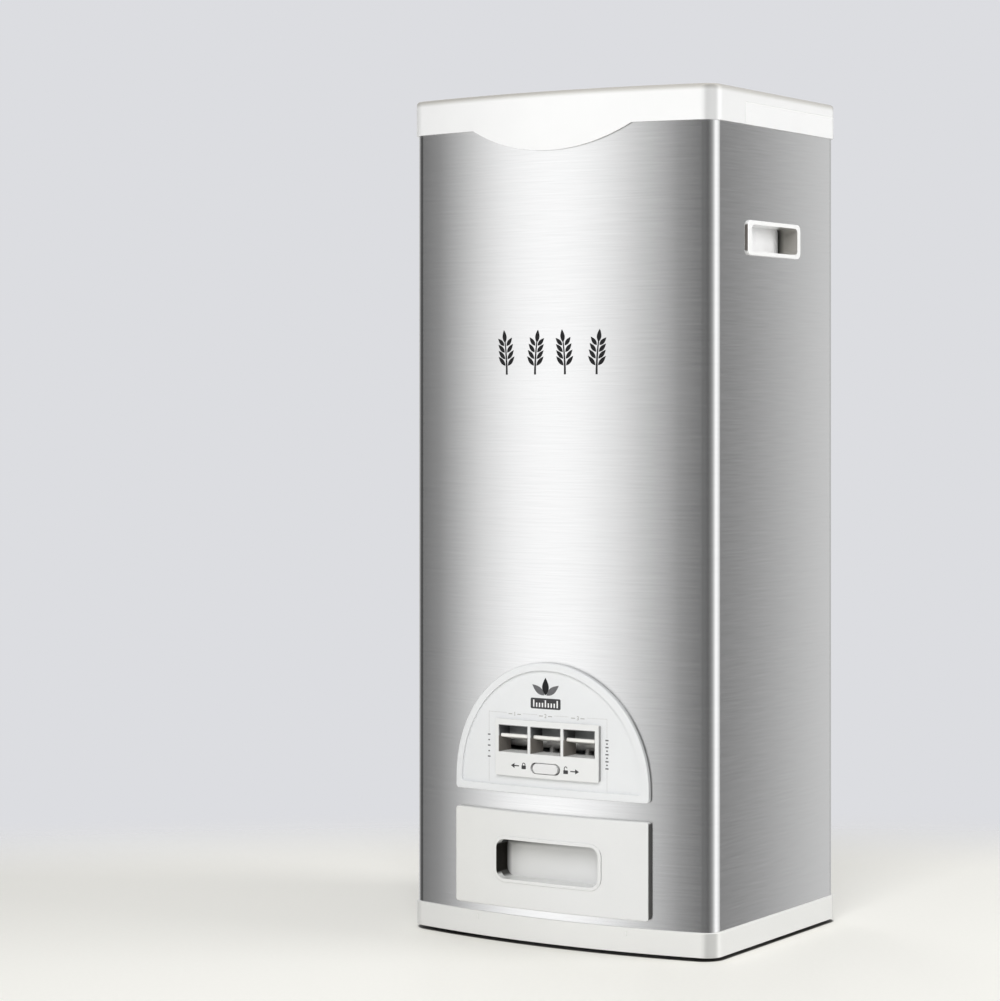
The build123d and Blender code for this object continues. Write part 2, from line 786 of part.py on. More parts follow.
# The chamber block is a closed box with three cells. Each cell has a port above and below.
with BuildPart() as chamber_block:
    half_span = chamber_span / 2 + chamber_wall
    block((-half_span, block_front, block_bottom), (half_span, chamber_back + chamber_wall, block_top))
    for deck in (block_bottom, block_top - deck_t):
        block(
            (-deck_half_width, block_front, deck), (deck_half_width, deck_back_y, deck + deck_t)
        )
    for left, width in zip(chamber_lefts, chamber_widths):
        block(
            (left, chamber_front, block_bottom + deck_t),
            (left + width, chamber_back, block_top - deck_t),
            Mode.SUBTRACT,
        )
        block(
            (left, port_front, block_bottom),
            (left + width, port_front + port_depth, block_top),
            Mode.SUBTRACT,
        )
    cheek_half = hub_r + cheek_rim
    for cheek_x in cheek_places:
        block(
            (cheek_x, shaft_y, shaft_z - cheek_half),
            (cheek_x + cheek_t, block_front, shaft_z + cheek_half),
        )
        rod_x(cheek_x, cheek_x + cheek_t, shaft_y, shaft_z, cheek_half)
        rod_x(cheek_x, cheek_x + cheek_t, shaft_y, shaft_z, shaft_r + bore_gap, Mode.SUBTRACT)
    for side in (-1, 1):
        for screw_y in flange_screw_ys:
            boss = sorted((side * (half_span - chamber_wall), side * deck_half_width))
            boss_z = (block_bottom + block_top) / 2
            rod_x(*boss, screw_y, boss_z, 2 * screw_head_r)
            hole_x = deck_half_width - block_screw_grip - screw_hole_spare
            rod_x(
                *sorted((side * hole_x, side * deck_half_width)),
                screw_y,
                boss_z,
                screw_r + bore_gap,
                Mode.SUBTRACT,
            )
save(chamber_block.part, "chamber_block")

# Slotted decks guide the shutters over and under the chambers.
mouth_half = chamber_span / 2
mouth_front = port_front - plastic_t
mouth_back = port_front + port_depth + plastic_t
socket_inner = hopper_wall + socket_gap
socket_outer_x = mouth_half + socket_inner + socket_wall
deck_front_y = mouth_front - socket_inner - socket_wall
with BuildPart() as upper_guide:
    block(
        (-deck_half_width, deck_front_y, upper_deck_z),
        (deck_half_width, deck_back_y, upper_deck_z + deck_t),
    )
    for side in (-1, 1):
        rail = sorted((side * rail_x, side * deck_half_width))
        block((rail[0], block_front, block_top), (rail[1], deck_back_y, upper_deck_z))
    socket_z = upper_deck_z + deck_t
    block(
        (-socket_outer_x, deck_front_y, socket_z),
        (socket_outer_x, mouth_back + socket_inner + socket_wall, socket_z + socket_h),
    )
    block(
        (-mouth_half - socket_inner, mouth_front - socket_inner, socket_z),
        (mouth_half + socket_inner, mouth_back + socket_inner, socket_z + socket_h),
        Mode.SUBTRACT,
    )
    for left, width in zip(chamber_lefts, chamber_widths):
        block(
            (left, port_front, upper_deck_z),
            (left + width, port_front + port_depth, socket_z),
            Mode.SUBTRACT,
        )
save(upper_guide.part, "upper_guide")

with BuildPart() as lower_guide:
    block(
        (-deck_half_width, block_front, lower_deck_z - deck_t),
        (deck_half_width, deck_back_y, lower_deck_z),
    )
    for side in (-1, 1):
        rail = sorted((side * rail_x, side * deck_half_width))
        block((rail[0], block_front, lower_deck_z), (rail[1], deck_back_y, block_bottom))
    for left, width in zip(chamber_lefts, chamber_widths):
        block(
            (left, port_front, lower_deck_z - deck_t),
            (left + width, port_front + port_depth, lower_deck_z),
            Mode.SUBTRACT,
        )
save(lower_guide.part, "lower_guide")

# Every shutter is a plate with a window, and an ear in front whose slot takes the arm's pin.
window_start = port_front - upper_slot_y
plate_start = arm_w / 2 + 2 * slide_gap
plate_end = window_start + port_depth + travel + shutter_cover


def make_shutter(left, width, arm_x, slot_y, z):
    """One shutter, with its slot at slot_y and its plate centred on height z."""
    ear_x = arm_x + arm_t / 2 + seat_gap
    slot_half = pin_lift / 2 + pin_r + slide_gap
    with BuildPart() as shutter:
        block(
            (left - shutter_lap, slot_y + plate_start, z - shutter_t / 2),
            (left + width + shutter_lap, slot_y + plate_end, z + shutter_t / 2),
        )
        block(
            (left, slot_y + window_start, z - shutter_t / 2),
            (left + width, slot_y + window_start + port_depth, z + shutter_t / 2),
            Mode.SUBTRACT,
        )
        block(
            (ear_x, slot_y - ear_w / 2, z - slot_half - ear_t),
            (ear_x + ear_t, slot_y + ear_w / 2, z + slot_half + ear_t),
        )
        block(
            (ear_x, slot_y - pin_r - pin_gap, z - slot_half),
            (ear_x + ear_t, slot_y + pin_r + pin_gap, z + slot_half),
            Mode.SUBTRACT,
        )
    return shutter.part


for number in range(3):
    place = (chamber_lefts[number], chamber_widths[number], arm_places[number])
    save(make_shutter(*place, upper_slot_y, upper_z), f"upper_shutter_{number + 1}")
    save(make_shutter(*place, lower_slot_y, lower_z), f"lower_shutter_{number + 1}")

# Steel side plates carry the metering unit on the base floor.
plate_top = socket_z + plate_tab_t
plate_back_y = chamber_back + plate_overhang
for side, plate_name in ((-1, "side_plate_left"), (1, "side_plate_right")):
    with BuildPart() as side_plate:
        plate_x = sorted((side * deck_half_width, side * plate_outer_x))
        block((plate_x[0], chamber_front, base_top), (plate_x[1], plate_back_y, plate_top))
        flange_x = sorted((side * deck_half_width, side * (plate_outer_x + flange_w)))
        block(
            (flange_x[0], chamber_front, base_top),
            (flange_x[1], plate_back_y, base_top + side_plate_t),
        )
        tab_x = sorted((side * (deck_half_width - plate_tab_w), side * deck_half_width))
        block(
            (tab_x[0], plate_back_y - plate_tab_length, socket_z),
            (tab_x[1], plate_back_y, plate_top),
        )
        lower_tab_top = lower_deck_z - deck_t
        block(
            (tab_x[0], chamber_front, lower_tab_top - plate_tab_t),
            (tab_x[1], plate_back_y, lower_tab_top),
        )
        for screw_y in flange_screw_ys:
            rod_x(*plate_x, screw_y, boss_z, screw_r + bore_gap, Mode.SUBTRACT)
            rod_z(
                side * flange_screw_x,
                screw_y,
                base_top,
                base_top + side_plate_t,
                screw_r + bore_gap,
                Mode.SUBTRACT,
            )
    save(side_plate.part, plate_name)

with BuildPart() as chamber_screws:
    for side in (-1, 1):
        for screw_y in flange_screw_ys:
            shank = sorted((side * (deck_half_width - block_screw_grip), side * plate_outer_x))
            head = sorted((side * plate_outer_x, side * (plate_outer_x + screw_head_h)))
            rod_x(*shank, screw_y, boss_z, screw_r)
            rod_x(*head, screw_y, boss_z, screw_head_r)
save(chamber_screws.part, "chamber_screws")

with BuildPart() as base_screws:
    for side in (-1, 1):
        for screw_y in flange_screw_ys:
            screw_x = side * flange_screw_x
            head = base_top + side_plate_t
            rod_z(screw_x, screw_y, base_top - base_floor_t, head, screw_r)
            rod_z(screw_x, screw_y, head, head + screw_head_h, screw_head_r)
save(base_screws.part, "base_screws")

# The hopper narrows from the whole body to the mouth over the three ports.
neck_top = socket_z + neck_height
rim_bottom = neck_top + hopper_rise
mouth_bow_r = 8 * bow_radius
mouth_corner_r = 2 * hopper_wall
rim_grow = -steel_t - slide_gap
with BuildPart() as hopper:
    with BuildSketch(Plane.XY.offset(neck_top)):
        bowed_face(
            mouth_half + hopper_wall,
            mouth_front - hopper_wall,
            mouth_back + hopper_wall,
            mouth_bow_r,
            mouth_corner_r,
        )
    with BuildSketch(Plane.XY.offset(rim_bottom)):
        body_plan(rim_grow)
    loft(ruled=True)
    with BuildSketch(Plane.XY.offset(rim_bottom)):
        body_plan(rim_grow)
    extrude(amount=hopper_rim)
    with BuildSketch(Plane.XY.offset(socket_z)):
        bowed_face(
            mouth_half + hopper_wall,
            mouth_front - hopper_wall,
            mouth_back + hopper_wall,
            mouth_bow_r,
            mouth_corner_r,
        )
    extrude(amount=neck_height)
    with BuildSketch(Plane.XY.offset(neck_top)):
        bowed_face(mouth_half, mouth_front, mouth_back, mouth_bow_r, hopper_wall)
    with BuildSketch(Plane.XY.offset(rim_bottom)):
        body_plan(rim_grow - hopper_wall)
    loft(ruled=True, mode=Mode.SUBTRACT)
    with BuildSketch(Plane.XY.offset(rim_bottom)):
        body_plan(rim_grow - hopper_wall)
    extrude(amount=hopper_rim, mode=Mode.SUBTRACT)
    with BuildSketch(Plane.XY.offset(socket_z)):
        bowed_face(mouth_half, mouth_front, mouth_back, mouth_bow_r, hopper_wall)
    extrude(amount=neck_height, mode=Mode.SUBTRACT)
save(hopper.part, "hopper")

# The drawer front follows the bowed body and has a recessed finger pull.
pull_z = (pull_bottom + pull_top) / 2
pull_w = 2 * pull_half_width
pull_h = pull_top - pull_bottom
drawer_screw_z = (box_bottom + box_top) / 2
with BuildPart() as drawer_plate:
    with BuildSketch(panel_plane):
        with Locations((0, (drawer_front_bottom + drawer_front_top) / 2)):
            RectangleRounded(
                2 * drawer_front_half_width,
                drawer_front_top - drawer_front_bottom,
                drawer_front_corner_r,
            )
    extrude(amount=2 * front_bow)
    with BuildSketch(Plane.XY):
        front_band(seat_gap, drawer_front_proud)
    extrude(amount=shell_top, mode=Mode.INTERSECT)
    fillet(drawer_plate.faces().sort_by(Axis.Y)[0].edges(), drawer_edge_r)

with BuildPart() as pull_rim:
    with BuildSketch(panel_plane):
        with Locations((0, pull_z)):
            RectangleRounded(pull_w + 2 * pull_lip_w, pull_h + 2 * pull_lip_w, pull_r + pull_lip_w)
    extrude(amount=2 * front_bow)
    with BuildSketch(Plane.XY):
        front_band(drawer_front_proud - pull_lip_seat, drawer_front_proud + pull_lip_proud)
    extrude(amount=shell_top, mode=Mode.INTERSECT)
    fillet(pull_rim.faces().sort_by(Axis.Y)[0].edges(), pull_lip_edge_r)

with BuildPart() as drawer_front:
    add(drawer_plate.part)
    add(pull_rim.part)
    with BuildSketch(Plane.XZ.offset(-pull_back_y - plastic_t)):
        with Locations((0, pull_z)):
            RectangleRounded(pull_w + 2 * plastic_t, pull_h + 2 * plastic_t, pull_r + plastic_t)
    extrude(amount=plastic_t + pull_depth - drawer_front_proud + pull_tub_seat)
    for side in (-1, 1):
        screw_x = side * drawer_screw_x
        boss_start = front_y + front_bow / 8
        hole_start = box_front_y + plastic_t - wood_screw_length - screw_hole_spare
        rod_y(screw_x, boss_start, box_front_y, drawer_screw_z, 1.5 * screw_head_r)
        rod_y(
            screw_x, hole_start, box_front_y, drawer_screw_z, screw_r + bore_gap, Mode.SUBTRACT
        )
    with BuildSketch(Plane.XZ.offset(-pull_back_y)):
        with Locations((0, pull_z)):
            RectangleRounded(pull_w, pull_h, pull_r)
    extrude(amount=2 * front_bow, mode=Mode.SUBTRACT)
save(drawer_front.part, "drawer_front")

# The drawer box is open on top and rests on two runners.
box_w = 2 * box_half_width
box_length = box_back_y - box_front_y
with BuildPart() as drawer_box:
    with BuildSketch(Plane.XY.offset(box_bottom)):
        with Locations((0, (box_front_y + box_back_y) / 2)):
            RectangleRounded(box_w, box_length, box_corner_r)
    extrude(amount=box_top - box_bottom)
    fillet(drawer_box.faces().sort_by(Axis.Z)[0].edges(), plastic_t)
    with BuildSketch(Plane.XY.offset(box_bottom + plastic_t)):
        with Locations((0, (box_front_y + box_back_y) / 2)):
            RectangleRounded(
                box_w - 2 * plastic_t, box_length - 2 * plastic_t, box_corner_r - plastic_t
            )
    extrude(amount=box_top - box_bottom, mode=Mode.SUBTRACT)
    for side in (-1, 1):
        rod_y(
            side * drawer_screw_x,
            box_front_y,
            box_front_y + plastic_t,
            drawer_screw_z,
            screw_r + bore_gap,
            Mode.SUBTRACT,
        )
save(drawer_box.part, "drawer_box")

with BuildPart() as drawer_screws:
    for side in (-1, 1):
        screw_x = side * drawer_screw_x
        head = box_front_y + plastic_t
        rod_y(screw_x, head - wood_screw_length, head, drawer_screw_z, screw_r)
        rod_y(screw_x, head, head + screw_head_h, drawer_screw_z, screw_head_r)
save(drawer_screws.part, "drawer_screws")

runner_front_y = front_y + runner_set_back
runner_back_y = box_back_y + slide_gap + runner_guide_t
for side, runner_name in ((-1, "drawer_runner_left"), (1, "drawer_runner_right")):
    with BuildPart() as runner:
        guide = sorted((side * (box_half_width + seat_gap), side * runner_outer_x))
        seat = sorted((side * (box_half_width - runner_seat_w), side * runner_outer_x))
        seat_top = box_bottom - slide_gap
        guide_top = base_top + runner_guide_h
        block((seat[0], runner_front_y, base_top), (seat[1], runner_back_y, seat_top))
        block((guide[0], runner_front_y, base_top), (guide[1], runner_back_y, guide_top))
        block((seat[0], box_back_y + slide_gap, base_top), (seat[1], runner_back_y, guide_top))
    save(runner.part, runner_name)
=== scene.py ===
import json
import math

import bmesh
import bpy
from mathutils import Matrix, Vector


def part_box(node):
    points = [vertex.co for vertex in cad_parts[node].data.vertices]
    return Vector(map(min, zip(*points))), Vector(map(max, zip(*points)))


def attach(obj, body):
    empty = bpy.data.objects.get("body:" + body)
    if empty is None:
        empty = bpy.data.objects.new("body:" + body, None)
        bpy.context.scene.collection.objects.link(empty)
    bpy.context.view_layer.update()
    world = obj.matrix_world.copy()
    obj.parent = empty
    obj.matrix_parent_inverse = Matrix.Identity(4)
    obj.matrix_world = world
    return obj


# A steel rice container: finishes, prints and studio around the fixed frame. Metres, +Z up.

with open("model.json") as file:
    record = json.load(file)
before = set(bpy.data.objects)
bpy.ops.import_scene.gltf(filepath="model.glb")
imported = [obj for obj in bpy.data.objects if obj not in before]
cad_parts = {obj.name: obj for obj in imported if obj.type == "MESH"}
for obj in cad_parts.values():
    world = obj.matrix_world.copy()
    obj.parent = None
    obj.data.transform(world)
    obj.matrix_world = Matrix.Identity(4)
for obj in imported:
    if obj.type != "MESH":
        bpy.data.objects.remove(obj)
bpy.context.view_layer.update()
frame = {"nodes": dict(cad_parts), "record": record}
nodes = frame["nodes"]

# Steel body. Its front, seen from above, is an arc whose middle lies on the line x = 0.
FRONT_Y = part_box("steel_shell")[0].y
FRONT_RADIUS = 0.652735
ARC_CENTRE_Y = FRONT_Y + FRONT_RADIUS
BODY_DEPTH = 0.244
BACK_Y = FRONT_Y + BODY_DEPTH
LAP_WIDTH = 0.012
BASE_CORNER = 0.0145

# Lid, and the seal lip in the joint under its skirt
LID_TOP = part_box("lid")[1].z
LID_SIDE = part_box("lid")[1].x
LID_OUTSET = 0.002
LID_CORNER = 0.015
SKIRT_STEP = 0.0683
SEAL_BELOW = 0.01195
SEAL_HEIGHT = 0.00085
SEAL_INSET = 0.0003
SEAL_T = 0.0009
SEAL_STEPS = 12

# Grip pocket of a handle
CUP_LOW, CUP_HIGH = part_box("handle_cup_right")
CUP_RIM_W = 0.0063
CUP_RIM = CUP_HIGH.x
CUP_FLOOR = CUP_RIM - 0.0195
CUP_FRONT = CUP_LOW.y
CUP_END = CUP_HIGH.y - CUP_RIM_W
CUP_MIDDLE = (CUP_LOW.z + CUP_HIGH.z) / 2

# Finger pull of the drawer, and keys
PULL_TOP = 0.088
PULL_DEEP = FRONT_Y + 0.009
KEY_LINE = 0.1752
KEY_CAP_DEPTH = 0.0125
KEY_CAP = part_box("key_1")[0].y + KEY_CAP_DEPTH

# Prints: how far their grounds stand in front of the steel's arc, and the ink
STEEL_FRONT = 0.0
PLATE_FRONT = 0.0028
BEZEL_FRONT = 0.0063
PRINT_T = 0.00006
PRINT_LIFT = 0.00002
BEND_STEP = 0.004
WELD = 1e-7

# Camera, backdrop and floor
CAMERA_PLACE = (1.2620, -2.1731, 0.4631)
CAMERA_AZIMUTH = 0.5687
CAMERA_LENS = 102.99
CAMERA_CLIP = (0.05, 50)
SENSOR_WIDTH = 36
HORIZON_SHIFT = -0.10406
BACKDROP = (0.716, 0.723, 0.752, 1)
AMBIENT = (0.475, 0.475, 0.475, 1)
FLOOR_COLOUR = (0.955, 0.945, 0.895, 1)
FLOOR_RADIUS = 2.4
FLOOR_SIDES = 96
FLOOR_FADE = (0.32, 0.70)
FLOOR_WIDE = 2.2
FLOOR_NEAR = 2.6
GAP_COLOUR = (0.02, 0.018, 0.014, 1)
GAP_EDGE = (-0.0016, 0.001)

# Lamps: degrees from the front, positive to the right, and upwards; distance, size and watts
LAMP_TARGET = Vector((0.0, 0.0, 0.36))
LAMPS = {
    "key_light": (21.0, 30.0, 2.6, 1.3, 36.5),
    "side_light": (106.0, 22.0, 2.2, 1.0, 18.8),
    "left_fill": (-125.0, 25.0, 2.6, 1.2, 10.0),
}

# Light tent that the steel mirrors: degrees from the front, positive to the right, and brightness
TENT_COLOUR = (0.995, 0.998, 1.0, 1)
TENT_RADIUS = 1.2
TENT_SIDES = 180
TENT_LOW, TENT_HIGH = -1.4, 2.4
TENT_PEAK = 1.5
TENT = [
    (-180, 0.62),
    (-150, 0.80),
    (-115, 0.75),
    (-80, 0.10),
    (-61, 0.08),
    (-56, 0.20),
    (-49, 0.58),
    (-43.5, 0.88),
    (-38, 1.12),
    (-32, 1.23),
    (-27, 1.25),
    (-22, 1.20),
    (-16, 1.03),
    (-10, 0.74),
    (-3.6, 0.48),
    (2, 0.10),
    (10, 0.20),
    (30, 0.18),
    (44, 0.15),
    (57, 0.22),
    (68, 0.34),
    (78, 0.55),
    (88, 0.95),
    (98, 1.30),
    (114, 1.15),
    (128, 0.88),
    (138, 0.40),
    (142.5, 0.04),
    (147, 0.50),
    (151, 0.90),
    (157, 0.50),
    (180, 0.62),
]


# Shader helpers


def add_node(tree, kind, inputs=None, **settings):
    """New shader node with its settings, and its input values by socket name or number."""
    made = tree.nodes.new(kind)
    for key, value in settings.items():
        setattr(made, key, value)
    for key, value in (inputs or {}).items():
        if isinstance(value, bpy.types.NodeSocket):
            tree.links.new(value, made.inputs[key])
        else:
            made.inputs[key].default_value = value
    return made


def maths(tree, operation, a, b=0.0):
    return add_node(tree, "ShaderNodeMath", {0: a, 1: b}, operation=operation).outputs[0]


def product(tree, *values):
    result = values[0]
    for value in values[1:]:
        result = maths(tree, "MULTIPLY", result, value)
    return result


def inverse(tree, value):
    """1 less a value."""
    return maths(tree, "SUBTRACT", 1.0, value)


def diagonal(tree, a, b):
    """Length of the diagonal over two sides."""
    return maths(tree, "SQRT", maths(tree, "ADD", product(tree, a, a), product(tree, b, b)))


def map_range(tree, value, low, high, new_low, new_high, kind="LINEAR"):
    made = add_node(
        tree,
        "ShaderNodeMapRange",
        {"Value": value, "From Min": low, "From Max": high, "To Min": new_low, "To Max": new_high},
        interpolation_type=kind,
    )
    return made.outputs[0]


def smooth(tree, value, low, high, new_low, new_high):
    return map_range(tree, value, low, high, new_low, new_high, "SMOOTHSTEP")


def ramp(tree, value, stops):
    """Colour ramp with stops of (position, grey or RGB)."""
    made = add_node(tree, "ShaderNodeValToRGB", {0: value})
    elements = made.color_ramp.elements
    while len(elements) < len(stops):
        elements.new(0.5)
    for element, (place, colour) in zip(elements, stops):
        element.position = place
        rgb = colour if isinstance(colour, tuple) else (colour, colour, colour)
        element.color = (*rgb, 1)
    return made.outputs[0]


def mix_colour(tree, factor, under, over):
    made = add_node(
        tree,
        "ShaderNodeMix",
        {"Factor": factor, 6: under, 7: over},
        data_type="RGBA",
        clamp_factor=True,
    )
    return made.outputs[2]


def grey(level, warmth=0.0):
    return (level * (1 + warmth), level, level * (1 - 2 * warmth), 1)


def axes(tree, source="Object"):
    """X, Y and Z of a shaded point: its place in metres, or its normal."""
    vector = add_node(tree, "ShaderNodeTexCoord").outputs[source]
    return add_node(tree, "ShaderNodeSeparateXYZ", {0: vector}).outputs


def bow_radius(tree):
    """Distance of a shaded point from the axis of the bowed front."""
    x, y, _ = axes(tree)
    return diagonal(tree, x, maths(tree, "SUBTRACT", y, ARC_CENTRE_Y))


def facing(tree, axis, sign, low=0.72, high=0.95):
    """1 where a surface faces along an axis (0 to 2), fading to 0 as it turns away."""
    turned = maths(tree, "MULTIPLY", axes(tree, "Normal")[axis], float(sign))
    return smooth(tree, turned, low, high, 0, 1)


# A noise hardly leaves this range, and its tones are spread over it.
NOISE_RANGE = (0.3, 0.7)
NOISE_ROUGHNESS = 0.55


def noise(tree, scale, detail=3.0, stretch=(1, 1, 1)):
    """Noise in metres, with scale in waves per metre and stretch along each axis."""
    place = add_node(tree, "ShaderNodeTexCoord").outputs["Object"]
    mapped = add_node(tree, "ShaderNodeMapping", {"Vector": place, "Scale": stretch})
    inputs = {
        "Vector": mapped.outputs[0],
        "Scale": scale,
        "Detail": detail,
        "Roughness": NOISE_ROUGHNESS,
    }
    return add_node(tree, "ShaderNodeTexNoise", inputs).outputs["Fac"]


def noise_levels(tree, value, low, high):
    """Spreads a noise over low to high."""
    return map_range(tree, value, *NOISE_RANGE, low, high)


def noise_tones(tree, value, dark, light):
    """Spreads a noise over two tones."""
    return ramp(tree, value, list(zip(NOISE_RANGE, (dark, light))))


def bump(tree, shader, height, distance, strength):
    inputs = {"Height": height, "Distance": distance, "Strength": strength}
    made = add_node(tree, "ShaderNodeBump", inputs)
    tree.links.new(made.outputs[0], shader.inputs["Normal"])


def new_material(name, inputs):
    """Material with one Principled shader. Returns the material, its tree and the shader."""
    material = bpy.data.materials.new(name)
    material.use_nodes = True
    tree = material.node_tree
    shader = tree.nodes["Principled BSDF"]
    for key, value in inputs.items():
        shader.inputs[key].default_value = value
    return material, tree, shader


def bare_material(name):
    """Material without nodes yet. Returns the material and its tree."""
    material = bpy.data.materials.new(name)
    material.use_nodes = True
    material.node_tree.nodes.clear()
    return material, material.node_tree


# Studio


def show(name, data):
    """New object in the scene."""
    made = bpy.data.objects.new(name, data)
    bpy.context.scene.collection.objects.link(made)
    return made


def mesh_from(shape, name, material):
    """Mesh with one material from a BMesh, which is freed."""
    mesh = bpy.data.meshes.new(name)
    shape.to_mesh(mesh)
    shape.free()
    mesh.materials.append(material)
    return mesh


def make_camera():
    bpy.context.scene.view_settings.view_transform = "Standard"
    data = bpy.data.cameras.new("camera")
    camera = show("camera", data)
    camera.location = CAMERA_PLACE
    camera.rotation_euler = (math.pi / 2, 0, CAMERA_AZIMUTH)
    data.sensor_width = SENSOR_WIDTH
    data.lens = CAMERA_LENS
    data.shift_y = HORIZON_SHIFT
    data.clip_start, data.clip_end = CAMERA_CLIP
    bpy.context.scene.camera = camera


def make_world():
    """Backdrop for straight, mirrored and clear views, and plain soft light for other rays."""
    world = bpy.data.worlds.new("studio")
    bpy.context.scene.world = world
    world.use_nodes = True
    tree = world.node_tree
    tree.nodes.clear()
    ray = add_node(tree, "ShaderNodeLightPath").outputs
    seen = maths(tree, "MAXIMUM", ray["Is Camera Ray"], ray["Is Glossy Ray"])
    seen = maths(tree, "MAXIMUM", seen, ray["Is Transmission Ray"])
    soft = add_node(tree, "ShaderNodeBackground", {"Color": AMBIENT, "Strength": 1.0})
    backdrop = add_node(tree, "ShaderNodeBackground", {"Color": BACKDROP, "Strength": 1.0})
    inputs = {0: seen, 1: soft.outputs[0], 2: backdrop.outputs[0]}
    mixed = add_node(tree, "ShaderNodeMixShader", inputs)
    add_node(tree, "ShaderNodeOutputWorld", {"Surface": mixed.outputs[0]})


def make_tent():
    """Cloth cylinder around the object, lit unevenly, that only shows in shiny surfaces."""
    material, tree = bare_material("tent")
    x, y, _ = axes(tree)
    azimuth = maths(tree, "ARCTAN2", x, maths(tree, "MULTIPLY", y, -1.0))
    turn = map_range(tree, azimuth, -math.pi, math.pi, 0, 1)
    stops = [((angle + 180) / 360, level / TENT_PEAK) for angle, level in TENT]
    level = maths(tree, "MULTIPLY", ramp(tree, turn, stops), TENT_PEAK)
    glow = add_node(tree, "ShaderNodeEmission", {"Color": TENT_COLOUR, "Strength": level})
    add_node(tree, "ShaderNodeOutputMaterial", {"Surface": glow.outputs[0]})
    shape = bmesh.new()
    bmesh.ops.create_cone(
        shape,
        cap_ends=False,
        segments=TENT_SIDES,
        radius1=TENT_RADIUS,
        radius2=TENT_RADIUS,
        depth=TENT_HIGH - TENT_LOW,
    )
    for vert in shape.verts:
        vert.co.z += (TENT_HIGH + TENT_LOW) / 2
    tent = show("tent", mesh_from(shape, "tent", material))
    tent.visible_camera = False
    tent.visible_diffuse = False
    tent.visible_transmission = False
    tent.visible_shadow = False


def make_lamp(name, azimuth, elevation, distance, size, watts):
    """Square lamp that lights the object and stays out of the picture and the metal."""
    data = bpy.data.lights.new(name, "AREA")
    data.shape = "SQUARE"
    data.size = size
    data.energy = watts
    lamp = show(name, data)
    turn, rise = math.radians(azimuth), math.radians(elevation)
    level = math.cos(rise)
    way = Vector((math.sin(turn) * level, -math.cos(turn) * level, math.sin(rise)))
    lamp.location = LAMP_TARGET + way * distance
    lamp.rotation_euler = (-way).to_track_quat("-Z", "Y").to_euler()
    lamp.visible_camera = False
    lamp.visible_glossy = False


def floor_gap(tree):
    """Nearly 1 on the strip of floor under the base's edge, where hardly any light gets in."""
    x, y, _ = axes(tree)
    low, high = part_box("base")
    past_side = maths(tree, "SUBTRACT", maths(tree, "ABSOLUTE", x), high.x - BASE_CORNER)
    past_front = maths(tree, "SUBTRACT", bow_radius(tree), ARC_CENTRE_Y - low.y - BASE_CORNER)
    past_back = maths(tree, "SUBTRACT", y, high.y - BASE_CORNER)
    past_side = maths(tree, "MAXIMUM", past_side, 0.0)
    past_end = maths(tree, "MAXIMUM", maths(tree, "MAXIMUM", past_front, past_back), 0.0)
    inset = maths(tree, "SUBTRACT", BASE_CORNER, diagonal(tree, past_side, past_end))
    return smooth(tree, inset, *GAP_EDGE, 0, 0.97)


def make_floor():
    """Pale table top that fades into the backdrop, with a painted shadow in the narrow gap under
    the base.
    """
    material, tree = bare_material("floor")
    place = add_node(tree, "ShaderNodeTexCoord").outputs["Object"]
    inputs = {"Vector": place, "Rotation": (0, 0, -CAMERA_AZIMUTH)}
    turned = add_node(tree, "ShaderNodeMapping", inputs)
    across, along, _ = add_node(tree, "ShaderNodeSeparateXYZ", {0: turned.outputs[0]}).outputs
    wide = maths(tree, "DIVIDE", across, FLOOR_WIDE)
    deep = maths(tree, "MAXIMUM", along, maths(tree, "DIVIDE", along, -FLOOR_NEAR))
    fade = smooth(tree, diagonal(tree, wide, deep), *FLOOR_FADE, 0, 1)
    grain = noise_levels(tree, noise(tree, 260.0), 0.98, 1.0)
    shade = product(tree, inverse(tree, floor_gap(tree)), grain)
    inputs = {
        "Base Color": mix_colour(tree, shade, GAP_COLOUR, FLOOR_COLOUR),
        "Roughness": 0.5,
        "Specular IOR Level": 0.25,
    }
    paint = add_node(tree, "ShaderNodeBsdfPrincipled", inputs)
    clear = add_node(tree, "ShaderNodeBsdfTransparent")
    inputs = {0: fade, 1: paint.outputs[0], 2: clear.outputs[0]}
    mixed = add_node(tree, "ShaderNodeMixShader", inputs)
    add_node(tree, "ShaderNodeOutputMaterial", {"Surface": mixed.outputs[0]})
    shape = bmesh.new()
    bmesh.ops.create_circle(shape, cap_ends=True, segments=FLOOR_SIDES, radius=FLOOR_RADIUS)
    floor = show("floor", mesh_from(shape, "floor", material))
    floor.visible_glossy = False


# Finishes

WHITE = (0.87, 0.872, 0.872)
LID_WHITE = (0.886, 0.888, 0.886)
DIELECTRIC = 0.5
FINE_BUMP = 0.00001
SOFT_BUMP = 0.00002
COARSE_BUMP = 0.00005

# Brush lines: stretch of their noises and the share of each
HAIR = ((20, 20, 1600), 0.62)
STRAND = ((26, 26, 820), 0.38)

# Where painted shade, painted light and single tones begin and end, in metres
LAP_SHADE_LINE = (0.0002, 0.0007)
LAP_SKIN = BACK_Y - 0.0004
LID_LINE = (LID_TOP - 0.0062, LID_TOP - 0.0012)
RIGHT_HALF = (0.0, 0.030)
PLATE_FOOT = (FRONT_RADIUS + 0.0006, FRONT_RADIUS + 0.0020)
DRAWER_LEFT_SHADE = (-0.09, 0.02)
DRAWER_MIDDLE = (-0.040, -0.030)
PULL_CEILING = (PULL_TOP - 0.0075, PULL_TOP - 0.0030)
PULL_ACROSS = (-0.045, 0.035)
PULL_NOOK = (-0.0500, -0.0446)
PULL_SILL = (-0.0480, -0.0428)
PULL_SUNK = FRONT_RADIUS - 0.0005
CUP_RIM_END = CUP_FRONT + 0.003
CUP_RISE = (CUP_MIDDLE - 0.010, CUP_MIDDLE - 0.001)
CUP_SHADE = 0.034
CUP_FADE = (-0.003, 0.003)
SILL_NEAR = (FRONT_Y + 0.020, FRONT_Y + 0.004)
